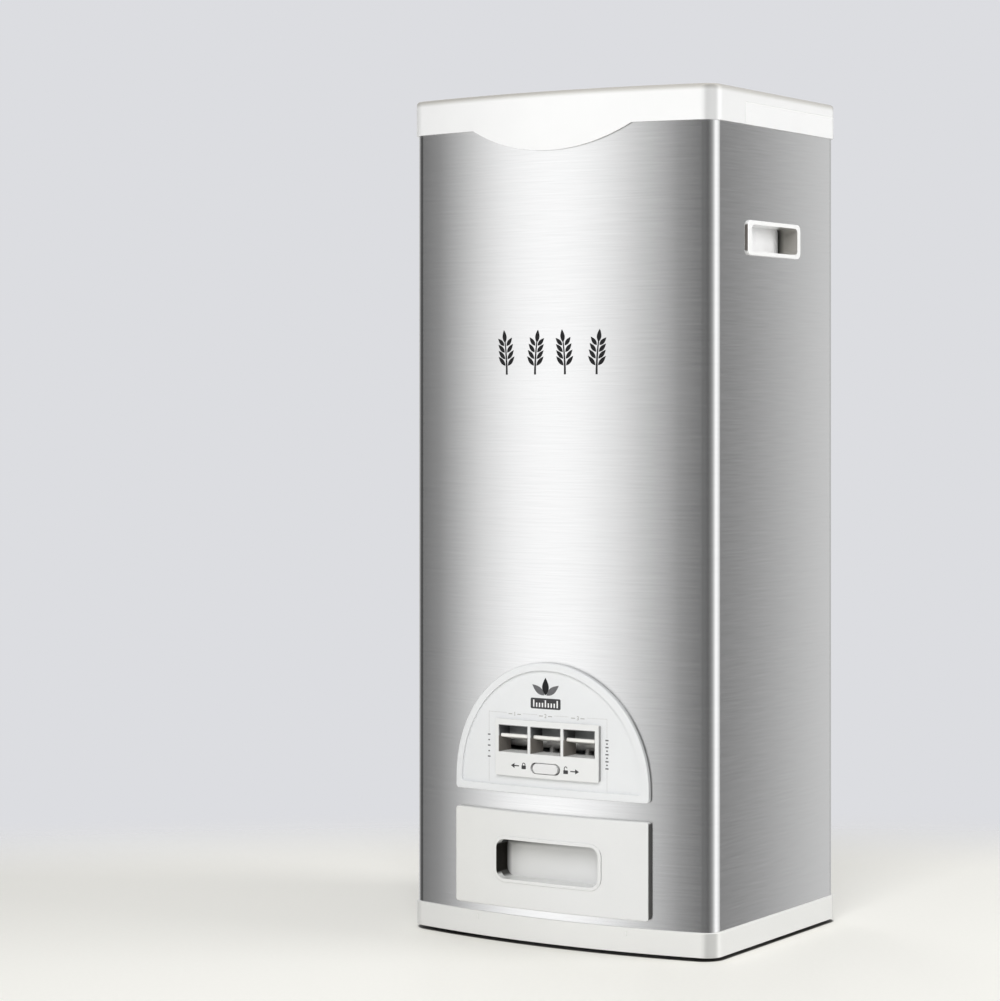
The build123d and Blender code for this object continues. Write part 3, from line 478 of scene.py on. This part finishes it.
WINDOW_UPPER = (KEY_LINE, KEY_LINE + 0.0008)
WINDOW_GRADE = (KEY_LINE, KEY_LINE + 0.0085)
KEY_CAP_EDGE = (KEY_CAP, KEY_CAP + 0.0006)

# How far a surface has turned towards an axis where its painted shade begins and is full
CUP_INNER_TURN = (0.35, 0.65)
CUP_OUTER_TURN = (0.88, 0.99)
CUP_ROOF_TURN = (0.2, 0.5)

# Painted shade on the grip pocket's rear end, from its floor to its rim
CUP_DEPTHS = [
    (0.0, (0.003, 0.003, 0.002)),
    (0.10, (0.02, 0.02, 0.015)),
    (0.36, (0.27, 0.26, 0.235)),
    (1.0, (0.29, 0.277, 0.26)),
]


def brushed_steel():
    """Stainless sheet with fine brush lines level round the body, and a painted shade line along
    both edges of the lap behind.
    """
    material, tree, shader = new_material(
        "brushed_steel", {"Metallic": 1.0, "Anisotropic": 0.8, "Anisotropic Rotation": 0.25}
    )
    hair, strand = (
        product(tree, noise(tree, 1.0, stretch=stretch), share) for stretch, share in (HAIR, STRAND)
    )
    lines = maths(tree, "ADD", hair, strand)
    colour = noise_tones(tree, lines, 0.742, 0.818)
    x, y, _ = axes(tree)
    # Painted shade along both edges of the lap at the back.
    edge = maths(tree, "SUBTRACT", maths(tree, "ABSOLUTE", x), LAP_WIDTH / 2)
    lap_shade = smooth(tree, maths(tree, "ABSOLUTE", edge), *LAP_SHADE_LINE, 0.7, 0)
    lap_shade = product(tree, lap_shade, maths(tree, "GREATER_THAN", y, LAP_SKIN))
    colour = mix_colour(tree, lap_shade, colour, grey(0.08))
    tree.links.new(colour, shader.inputs["Base Color"])
    tree.links.new(noise_levels(tree, lines, 0.195, 0.245), shader.inputs["Roughness"])
    tangent = add_node(tree, "ShaderNodeTangent", direction_type="RADIAL", axis="Z")
    tree.links.new(tangent.outputs[0], shader.inputs["Tangent"])
    bump(tree, shader, lines, FINE_BUMP, 0.2)
    return material


def moulded(name, colour, roughness, coat=0.0, texture=FINE_BUMP, spread=0.02, shade=None):
    """Moulded plastic: slight waves from the mould, fine grain and a faint change of tone.

    shade paints light and shade into the paint, and returns it with the share of gloss lost where
    shade is painted, or None.
    """
    material, tree, shader = new_material(
        name, {"Coat Weight": coat, "Coat Roughness": 0.06, "IOR": 1.5}
    )
    tone = noise(tree, 9.0, 2.0)
    grain = noise(tree, 1400.0, 2.0)
    wave = noise(tree, 18.0, 1.0)
    dark = tuple(c * (1 - spread) for c in colour)
    light = tuple(min(c * (1 + spread), 1) for c in colour)
    paint = noise_tones(tree, tone, dark, light)
    if shade:
        paint, shadow = shade(tree, paint)
        if shadow:
            shine = product(tree, inverse(tree, shadow), DIELECTRIC)
            tree.links.new(shine, shader.inputs["Specular IOR Level"])
    tree.links.new(paint, shader.inputs["Base Color"])
    rough = noise_levels(tree, grain, roughness - 0.03, roughness + 0.03)
    tree.links.new(rough, shader.inputs["Roughness"])
    height = maths(tree, "ADD", product(tree, grain, 0.3), product(tree, wave, 4.0))
    bump(tree, shader, height, texture, 0.5)
    return material


def corner_tone(tree, paint, side=0.0):
    """Painted shade round the upright corners of a wrapped moulding, fainter on the left ones, and
    on its right side.
    """
    paint = mix_colour(tree, product(tree, facing(tree, 0, 1), side), paint, grey(0.5))
    x, y, _ = axes(tree, "Normal")
    skew = maths(tree, "ABSOLUTE", product(tree, x, y))
    shadow = smooth(tree, skew, 0.22, 0.47, 0, 0.38)
    shadow = product(tree, shadow, map_range(tree, x, -0.2, 0.2, 0.1, 1.0))
    return mix_colour(tree, shadow, paint, grey(0.02)), shadow


def lid_tone(tree, paint):
    """A warm grey band on the upright faces just under the top edge, and painted shade round the
    corners and on the right side.
    """
    line = smooth(tree, axes(tree)[2], *LID_LINE, 0, 0.95)
    level = maths(tree, "ABSOLUTE", axes(tree, "Normal")[2])
    upright = map_range(tree, level, 0.90, 0.99, 1, 0)
    paint = mix_colour(tree, product(tree, line, upright), paint, grey(0.46, 0.04))
    return corner_tone(tree, paint, 0.13)


# Painted shade round the upright corners and a little on the right side.
def collar_tone(tree, paint):
    return corner_tone(tree, paint, 0.06)


def edge_shade(tree, paint, shadow):
    return mix_colour(tree, shadow, paint, grey(0.05, 0.01)), shadow


def right_edges(tree, depth):
    """Depth of shade on edges that look to the right, full only on the right half."""
    right = smooth(tree, axes(tree)[0], *RIGHT_HALF, 0.10, depth)
    return product(tree, facing(tree, 0, 1), right)


def panel_tone(tree, paint):
    """The right edge is in shade where it meets the steel."""
    foot = smooth(tree, bow_radius(tree), *PLATE_FOOT, 1.0, 0.30)
    return edge_shade(tree, paint, product(tree, right_edges(tree, 0.80), foot))


def bezel_tone(tree, paint):
    """The whole right edge is in half shade."""
    return edge_shade(tree, paint, right_edges(tree, 0.62))


def drawer_tone(tree, paint):
    """Painted shade on the right edge and, a little warm, over the left part of the front, and
    darker painted shade in the left end of the deep finger pull and under its upper rim.
    """
    x, y, z = axes(tree)
    # Painted shade, a little warm, over the left part of the front.
    left_shade = map_range(tree, x, *DRAWER_LEFT_SHADE, 0.35, 0)
    left_shaded = mix_colour(tree, left_shade, paint, (0.78, 0.775, 0.73, 1))
    shadow = product(tree, facing(tree, 0, 1), smooth(tree, x, *DRAWER_MIDDLE, 1.0, 0.88))
    deep = maths(tree, "GREATER_THAN", y, PULL_DEEP)
    under = smooth(tree, z, *PULL_CEILING, 0, 1)
    under = product(tree, deep, under, map_range(tree, x, *PULL_ACROSS, 0.85, 0.20))
    nook = product(tree, deep, smooth(tree, x, *PULL_NOOK, 0.76, 0))
    sunk = maths(tree, "LESS_THAN", bow_radius(tree), PULL_SUNK)
    sill = smooth(tree, x, *PULL_SILL, 0.94, 0)
    sill = product(tree, sunk, sill, inverse(tree, facing(tree, 1, -1)))
    for part in (under, nook, sill):
        shadow = maths(tree, "MAXIMUM", shadow, part)
    return mix_colour(tree, shadow, left_shaded, grey(0.010, 0.12)), shadow


def cup_tone(tree, paint):
    """Grip pocket: floor painted lighter, and painted shade on the rear end, the front rim's edge
    and the ceiling towards the rear end.
    """
    x, y, z = axes(tree)
    reach = map_range(tree, maths(tree, "ABSOLUTE", x), CUP_FLOOR, CUP_RIM, 0, 1)
    front = maths(tree, "LESS_THAN", y, CUP_RIM_END)
    # Painted shade: on the rear end, darker towards the floor, and on the front-facing edge of the
    # rim.
    tone = mix_colour(tree, front, ramp(tree, reach, CUP_DEPTHS), (0.12, 0.105, 0.095, 1))
    inner = product(tree, facing(tree, 1, -1, *CUP_INNER_TURN), inverse(tree, front))
    outer = product(tree, facing(tree, 1, -1, *CUP_OUTER_TURN), front)
    shadow = product(tree, maths(tree, "MAXIMUM", inner, outer), 0.96)
    # Painted light on the pocket's floor, a little less below the middle.
    floor_light = product(tree, facing(tree, 0, 1), map_range(tree, reach, 0.1, 0.3, 1, 0))
    rise = map_range(tree, z, *CUP_RISE, 0, 1)
    paint = mix_colour(tree, floor_light, paint, mix_colour(tree, rise, grey(0.90), grey(0.99)))
    past = maths(tree, "SUBTRACT", y, CUP_END)
    past = maths(tree, "ADD", past, product(tree, reach, CUP_SHADE))
    roof = product(
        tree, facing(tree, 2, -1, *CUP_ROOF_TURN), smooth(tree, past, *CUP_FADE, 0, 0.9)
    )
    roof = product(tree, roof, maths(tree, "GREATER_THAN", z, CUP_MIDDLE))
    shadow = maths(tree, "MAXIMUM", shadow, roof)
    return mix_colour(tree, shadow, paint, tone), shadow


def frame_tone(tree, paint):
    """Painted light on the sills near the front, and above the key line a grey back painted lighter
    towards the key bar, with darker painted shade on the other walls in each window.
    """
    _, y, z = axes(tree)
    # Painted light on the upward faces of the sills near the front.
    near = product(tree, facing(tree, 2, 1), smooth(tree, y, *SILL_NEAR, 0, 0.95))
    # Above the key line: the back painted lighter towards the key bar, and darker painted shade on
    # the other walls.
    upper = smooth(tree, z, *WINDOW_UPPER, 0, 1)
    grade = map_range(tree, z, *WINDOW_GRADE, 1, 0)
    window_light_and_shade = mix_colour(tree, grade, (0.20, 0.205, 0.21, 1), (0.60, 0.61, 0.62, 1))
    window_light_and_shade = mix_colour(tree, facing(tree, 1, -1), (0.115, 0.117, 0.12, 1), window_light_and_shade)
    paint = mix_colour(tree, upper, paint, window_light_and_shade)
    return mix_colour(tree, near, paint, (0.70, 0.66, 0.60, 1)), None


def plated_key():
    """Bright plated metal whose bar in the window has a cream cap."""
    material, tree, shader = new_material(
        "key_bright", {"Coat Weight": 0.3, "Coat Roughness": 0.06}
    )
    bare = map_range(tree, axes(tree)[1], *KEY_CAP_EDGE, 0, 1)
    wear = noise(tree, 220.0, 4.0)
    metal = ramp(tree, wear, [(0.35, (0.80, 0.79, 0.77)), (0.65, (0.91, 0.90, 0.88))])
    stain = noise(tree, 60.0, 2.0)
    cream = noise_tones(tree, stain, (0.885, 0.875, 0.84), (0.925, 0.915, 0.88))
    tree.links.new(mix_colour(tree, bare, cream, metal), shader.inputs["Base Color"])
    tree.links.new(product(tree, bare, 0.35), shader.inputs["Metallic"])
    tree.links.new(noise_levels(tree, wear, 0.18, 0.27), shader.inputs["Roughness"])
    bump(tree, shader, noise(tree, 900.0, 2.0), FINE_BUMP, 0.3)
    return material


def bright_metal(name, colour, roughness, brush=0.0):
    """Turned, plated or polished metal with fine wear."""
    material, tree, shader = new_material(name, {"Metallic": 1.0, "Anisotropic": brush})
    wear = noise(tree, 160.0, 4.0)
    paint = ramp(tree, wear, [(0.35, tuple(c * 0.9 for c in colour)), (0.65, colour)])
    tree.links.new(paint, shader.inputs["Base Color"])
    rough = noise_levels(tree, wear, roughness * 0.8, roughness * 1.3)
    tree.links.new(rough, shader.inputs["Roughness"])
    bump(tree, shader, noise(tree, 900.0, 2.0), FINE_BUMP, 0.3)
    return material


def printed(name, colour):
    """Screen print: a thin ink layer, slightly uneven."""
    material, tree, shader = new_material(name, {"Specular IOR Level": 0.18})
    film = noise(tree, 900.0)
    pale = tuple(min(c * 1.25 + 0.004, 1) for c in colour)
    paint = ramp(tree, film, [(0.35, colour), (0.75, pale)])
    tree.links.new(paint, shader.inputs["Base Color"])
    tree.links.new(noise_levels(tree, film, 0.45, 0.60), shader.inputs["Roughness"])
    bump(tree, shader, film, FINE_BUMP, 0.3)
    return material


# The finish of each material slot, and the finishes that single nodes have instead
FINISHES = {
    "brushed_steel": brushed_steel(),
    "white_gloss": moulded("white_gloss", WHITE, 0.24, coat=0.25),
    "white_satin": moulded("white_satin", (0.77, 0.775, 0.775), 0.38),
    "dark_frame": moulded(
        "dark_frame",
        (0.175, 0.160, 0.145),
        0.36,
        texture=SOFT_BUMP,
        spread=0.12,
        shade=frame_tone,
    ),
    "key_bright": plated_key(),
    "inner_plastic": moulded("inner_plastic", (0.74, 0.74, 0.71), 0.42, texture=SOFT_BUMP),
    "clear_chamber": moulded("clear_chamber", (0.55, 0.57, 0.57), 0.35),
    "steel_pin": bright_metal("steel_pin", (0.62, 0.62, 0.63), 0.25, brush=0.4),
    "zinc_sheet": bright_metal("zinc_sheet", (0.60, 0.62, 0.64), 0.36),
    "rubber_foot": moulded(
        "rubber_foot", (0.035, 0.035, 0.036), 0.7, texture=COARSE_BUMP, spread=0.2
    ),
    "silicone": moulded("silicone", (0.88, 0.88, 0.87), 0.5, texture=SOFT_BUMP),
}
CUP_WHITE = moulded("cup_white", (0.885, 0.885, 0.88), 0.30, coat=0.2, shade=cup_tone)
FITTED = {
    "lid": moulded("lid_white", LID_WHITE, 0.24, coat=0.25, shade=lid_tone),
    "top_collar": moulded("collar_white", LID_WHITE, 0.26, coat=0.2, shade=collar_tone),
    "base": moulded("base_white", (0.775, 0.775, 0.76), 0.30, coat=0.2, shade=corner_tone),
    "control_panel": moulded(
        "panel_white", (0.782, 0.793, 0.803), 0.30, coat=0.15, shade=panel_tone
    ),
    "bezel": moulded("bezel_white", (0.785, 0.79, 0.785), 0.36, shade=bezel_tone),
    "drawer_front": moulded(
        "drawer_white", (0.755, 0.758, 0.755), 0.30, coat=0.15, shade=drawer_tone
    ),
    "handle_cup_left": CUP_WHITE,
    "handle_cup_right": CUP_WHITE,
    "lock_knob": moulded("knob_white", (0.76, 0.76, 0.76), 0.28, coat=0.3),
}
INK = {
    "black": printed("ink_black", (0.012, 0.012, 0.013)),
    "dark": printed("ink_dark", (0.05, 0.05, 0.052)),
    "mid": printed("ink_mid", (0.13, 0.13, 0.135)),
    "faint": printed("ink_faint", (0.36, 0.35, 0.33)),
    "pale": printed("ink_pale", (0.60, 0.60, 0.60)),
    "white": printed("ink_white", (0.85, 0.85, 0.85)),
}


def dress_nodes():
    """Every CAD node takes its own finish, or else that of its slot in the record."""
    for row in frame["record"]["subparts"]:
        mesh = nodes[row["node"]].data
        finish = FITTED.get(row["node"], FINISHES[row["material_slot"]])
        if not mesh.materials:
            mesh.materials.append(finish)
        for place in range(len(mesh.materials)):
            mesh.materials[place] = finish


# Seal lip


def seal_path():
    """X, Y and turn of the lid's right edge, from the skirt's step to past the rear corner."""
    back = BACK_Y + LID_OUTSET
    path = [(LID_SIDE, FRONT_Y + SKIRT_STEP, 0.0)]
    for step in range(SEAL_STEPS + 1):
        turn = math.pi / 2 * step / SEAL_STEPS
        x = LID_SIDE - LID_CORNER * (1 - math.cos(turn))
        y = back - LID_CORNER * (1 - math.sin(turn))
        path.append((x, y, turn))
    return path


def seal_lip(name, side):
    """Pale silicone lip in the joint between the lid's skirt and the collar, on one side."""
    shape = bmesh.new()
    rings = []
    for x, y, turn in seal_path():
        ring = []
        for inset, rise in ((0, 0), (1, 0), (1, 1), (0, 1)):
            depth = SEAL_INSET + SEAL_T * inset
            place = (
                side * (x - depth * math.cos(turn)),
                y - depth * math.sin(turn),
                LID_TOP - SEAL_BELOW + SEAL_HEIGHT * rise,
            )
            ring.append(shape.verts.new(place))
        rings.append(ring)
    for near, far in zip(rings, rings[1:]):
        for n in range(4):
            shape.faces.new((near[n], near[n - 1], far[n - 1], far[n]))
    shape.faces.new(rings[0])
    shape.faces.new(rings[-1][::-1])
    bmesh.ops.recalc_face_normals(shape, faces=shape.faces)
    lip = show(name, mesh_from(shape, name, FINISHES["silicone"]))
    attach(lip, "lid")


# Closed outlines, in X and Z


def leaf(x, z, angle, length, width):
    """Pointed grain whose near tip is at x, z."""
    steps = 14
    along = Vector((math.cos(angle), math.sin(angle)))
    across = Vector((-math.sin(angle), math.cos(angle)))
    side = [
        (length * n / steps, width / 2 * math.sin(math.pi * (n / steps) ** 0.85))
        for n in range(steps + 1)
    ]
    points = [along * a + across * b for a, b in side]
    points += [along * a - across * b for a, b in side[-2:0:-1]]
    return [(x + p.x, z + p.y) for p in points]


def rounded(x_low, z_low, x_high, z_high, radius):
    """Rectangle with round corners."""
    steps = 8
    corners = [
        (x_high - radius, z_high - radius),
        (x_low + radius, z_high - radius),
        (x_low + radius, z_low + radius),
        (x_high - radius, z_low + radius),
    ]
    points = []
    for quarter, (x, z) in enumerate(corners):
        for n in range(steps + 1):
            turn = (quarter + n / steps) * math.pi / 2
            points.append((x + radius * math.cos(turn), z + radius * math.sin(turn)))
    return points


def bar(x_low, z_low, x_high, z_high):
    """Rectangle with sharp corners."""
    return [(x_low, z_low), (x_high, z_low), (x_high, z_high), (x_low, z_high)]


def stroke(x, z, half_width, half_height):
    """Rectangle round its middle."""
    return bar(x - half_width, z - half_height, x + half_width, z + half_height)


def band(path, widths):
    """Line with a width at each point of its path."""
    left, right = [], []
    for n, (x, z) in enumerate(path):
        before, after = Vector(path[max(n - 1, 0)]), Vector(path[min(n + 1, len(path) - 1)])
        along = (after - before).normalized()
        half = widths[n] / 2
        left.append((x - along.y * half, z + along.x * half))
        right.append((x + along.y * half, z - along.x * half))
    return left + right[::-1]


# Marks: lists of shapes, each of them a list of outlines, which are an edge and its holes


def ear(x, low, sway):
    """Upright ear of grain that stands on x and low and bends to one side."""
    steps, stalk = 14, 0.0275
    path = [(x + sway * (n / steps) ** 2, low + stalk * n / steps) for n in range(steps + 1)]
    shapes = [[band(path, [0.0019 - 0.0009 * n / steps for n in range(steps + 1)])]]
    for level in range(4):
        rise = 0.0075 + 0.0056 * level
        length = 0.0105 - 0.0005 * level
        foot_x, foot_z = x + sway * (rise / stalk) ** 2, low + rise
        for side in (-1, 1):
            lean = math.pi / 2 - side * 0.72 - sway * 40 * rise / stalk
            shapes.append([leaf(foot_x + side * 0.0013, foot_z, lean, length, 0.0036)])
    top_x, top_z = path[-1]
    shapes.append([leaf(top_x, top_z - 0.0005, math.pi / 2 - sway * 60, 0.0110, 0.0042)])
    return shapes


def padlock(x, z, open_way=0):
    """Small padlock, shut, or with its bow lifted and open to the left (-1) or right (1)."""
    steps = 12
    bow_out, bow_in, shoulder = 0.00165, 0.00095, 0.0010
    lift = 0.0009 if open_way else 0.0
    outer, inner = [], []
    for n in range(steps + 1):
        turn = math.pi * n / steps
        for bow, radius in ((outer, bow_out), (inner, bow_in)):
            rise = shoulder + lift + radius * math.sin(turn)
            bow.append((x + radius * math.cos(turn), z + rise))
    if open_way:
        outer[0 if open_way > 0 else -1] = (x + open_way * bow_out, z + 0.0012 + lift)
        outer.append((x - open_way * bow_out, z))
        inner.append((x - open_way * bow_in, z))
    else:
        outer = [(x + bow_out, z)] + outer + [(x - bow_out, z)]
        inner = [(x + bow_in, z)] + inner + [(x - bow_in, z)]
    body = rounded(x - 0.0022, z - 0.0028, x + 0.0022, z + 0.0003, 0.0005)
    return [[outer + inner[::-1]], [body]]


def arrow(x, z, way):
    """Small arrow that points left (-1) or right (1)."""
    tip, neck, tail = x + way * 0.0042, x + way * 0.0006, x - way * 0.0040
    head = [(tip, z), (neck, z + 0.0021), (neck, z - 0.0021)]
    return [[head], [bar(min(tail, neck), z - 0.00045, max(tail, neck), z + 0.00045)]]


# Prints that follow the bowed front


def flat_mesh(name, data):
    """Mesh of a flat curve, as thick as the ink."""
    data.extrude = PRINT_T / 2
    flat = bpy.data.objects.new(name, data)
    mesh = bpy.data.meshes.new_from_object(flat)
    bpy.data.objects.remove(flat)
    return mesh


def flat_shape(name, loops):
    """Flat mesh of one shape, filled between its outlines."""
    data = bpy.data.curves.new(name, "CURVE")
    data.dimensions = "2D"
    data.fill_mode = "BOTH"
    for loop in loops:
        spline = data.splines.new("POLY")
        spline.points.add(len(loop) - 1)
        for point, (x, z) in zip(spline.points, loop):
            point.co = (x, z, 0, 1)
        spline.use_cyclic_u = True
    return flat_mesh(name, data)


def flat_number(name, number, size):
    """Flat mesh of a number round its own middle."""
    data = bpy.data.curves.new(name, "FONT")
    data.body = str(number)
    data.size = size
    data.align_x = "CENTER"
    data.align_y = "CENTER"
    return flat_mesh(name, data)


def bent_print(name, meshes, reach, ink, place=(0, 0)):
    """Joins flat meshes, moves them to a place and bends them round the front at a reach."""
    shape = bmesh.new()
    for mesh in meshes:
        shape.from_mesh(mesh)
        bpy.data.meshes.remove(mesh)
    bmesh.ops.remove_doubles(shape, verts=shape.verts, dist=WELD)
    for vert in shape.verts:
        vert.co.x += place[0]
        vert.co.y += place[1]
    low = min(vert.co.x for vert in shape.verts)
    high = max(vert.co.x for vert in shape.verts)
    cut = math.ceil(low / BEND_STEP) * BEND_STEP
    while cut < high:
        everything = shape.verts[:] + shape.edges[:] + shape.faces[:]
        bmesh.ops.bisect_plane(shape, geom=everything, plane_co=(cut, 0, 0), plane_no=(1, 0, 0))
        cut += BEND_STEP
    for vert in shape.verts:
        radius = FRONT_RADIUS + reach + PRINT_LIFT + PRINT_T / 2 + vert.co.z
        bow = math.sqrt(radius**2 - vert.co.x**2)
        vert.co = (vert.co.x, ARC_CENTRE_Y - bow, vert.co.y)
    bmesh.ops.recalc_face_normals(shape, faces=shape.faces)
    piece = show(name, mesh_from(shape, name, INK[ink]))
    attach(piece, "root")


def front_print(name, shapes, reach, ink):
    """Print of a mark's shapes on the bowed front."""
    bent_print(name, [flat_shape(name, loops) for loops in shapes], reach, ink)


def front_ornament():
    """Row of four black ears of grain on the steel."""
    low, sway = 0.4815, 0.0018
    for number, x in enumerate((-0.0430, -0.0140, 0.0155, 0.0455)):
        way = sway if number % 2 else -sway
        front_print(f"grain_ear_{number + 1}", ear(x, low, way), STEEL_FRONT, "black")


def emblem(middle):
    """Three grains over a dark plate with a gauge's strokes."""
    root_z, root_spread = 0.2118, 0.0012
    for name, angle, length, width, ink in (
        ("middle", 0.0, 0.0148, 0.0066, "black"),
        ("left", -0.95, 0.0150, 0.0056, "mid"),
        ("right", 0.95, 0.0150, 0.0056, "mid"),
    ):
        root_x = middle + root_spread * math.sin(angle)
        grain = leaf(root_x, root_z, math.pi / 2 - angle, length, width)
        front_print(f"emblem_{name}", [[grain]], PLATE_FRONT, ink)
    plate = rounded(middle - 0.0148, 0.2002, middle + 0.0148, 0.2092, 0.0014)
    front_print("gauge_plate", [[plate]], PLATE_FRONT, "dark")
    ticks = []
    foot, half, pitch, corner = 0.2017, 0.00062, 0.0029, 0.0002
    for number in range(9):
        x = middle + pitch * (number - 4)
        height = 0.0060 if number % 4 == 0 else 0.0036
        ticks.append([rounded(x - half, foot, x + half, foot + height, corner)])
    front_print("gauge_ticks", ticks, PLATE_FRONT + PRINT_T, "white")


def window_numbers():
    """A number between two dashes over each window."""
    z, size = 0.1942, 0.0050
    for number, x in enumerate((-0.0328, -0.0018, 0.0295), 1):
        name = f"window_number_{number}"
        bent_print(name, [flat_number(name, number, size)], PLATE_FRONT, "faint", (x, z))
        dashes = [[stroke(x + side * 0.0045, z, 0.0019, 0.0003)] for side in (-1, 1)]
        front_print(f"window_dashes_{number}", dashes, PLATE_FRONT, "faint")


def border(left, right):
    """Thin line round the bezel, open at the numbers and at the scales on both sides."""
    bottom, top, half = 0.1353, 0.1950, 0.00022
    runs = [
        (left, top, -0.0415, top),
        (-0.0240, top, -0.0105, top),
        (0.0070, top, 0.0208, top),
        (0.0382, top, right, top),
        (left, bottom, left, 0.1545),
        (left, 0.1775, left, top),
        (right, bottom, right, 0.1517),
        (right, 0.1797, right, top),
    ]
    lines = [[bar(x0 - half, z0 - half, x1 + half, z1 + half)] for x0, z0, x1, z1 in runs]
    front_print("border_line", lines, PLATE_FRONT, "pale")


def side_scale(name, x, low, high, count):
    """Column of short strokes, wide and narrow in turn."""
    strokes = []
    for number in range(count):
        z = low + (high - low) * number / (count - 1)
        half = 0.0014 if number % 2 == 0 else 0.0008
        strokes.append([stroke(x, z, half, 0.00055)])
    front_print(name, strokes, PLATE_FRONT, "mid")


def panel_prints():
    """Small prints on the control panel and the bezel."""
    left, middle, right = -0.0598, -0.0018, 0.0567
    emblem(middle)
    window_numbers()
    border(left, right)
    side_scale("side_scale_left", left, 0.1566, 0.1753, 5)
    side_scale("side_scale_right", right, 0.1538, 0.1774, 9)
    shut = arrow(-0.0302, 0.1512, -1) + padlock(-0.0214, 0.1516)
    front_print("mark_shut", shut, BEZEL_FRONT, "dark")
    opened = arrow(0.0285, 0.1500, 1) + padlock(0.0200, 0.1504, 1)
    front_print("mark_open", opened, BEZEL_FRONT, "dark")


make_camera()
make_world()
make_tent()
make_floor()
for lamp_name, lamp_settings in LAMPS.items():
    make_lamp(lamp_name, *lamp_settings)
dress_nodes()
seal_lip("lid_seal_right", 1)
seal_lip("lid_seal_left", -1)
front_ornament()
panel_prints()
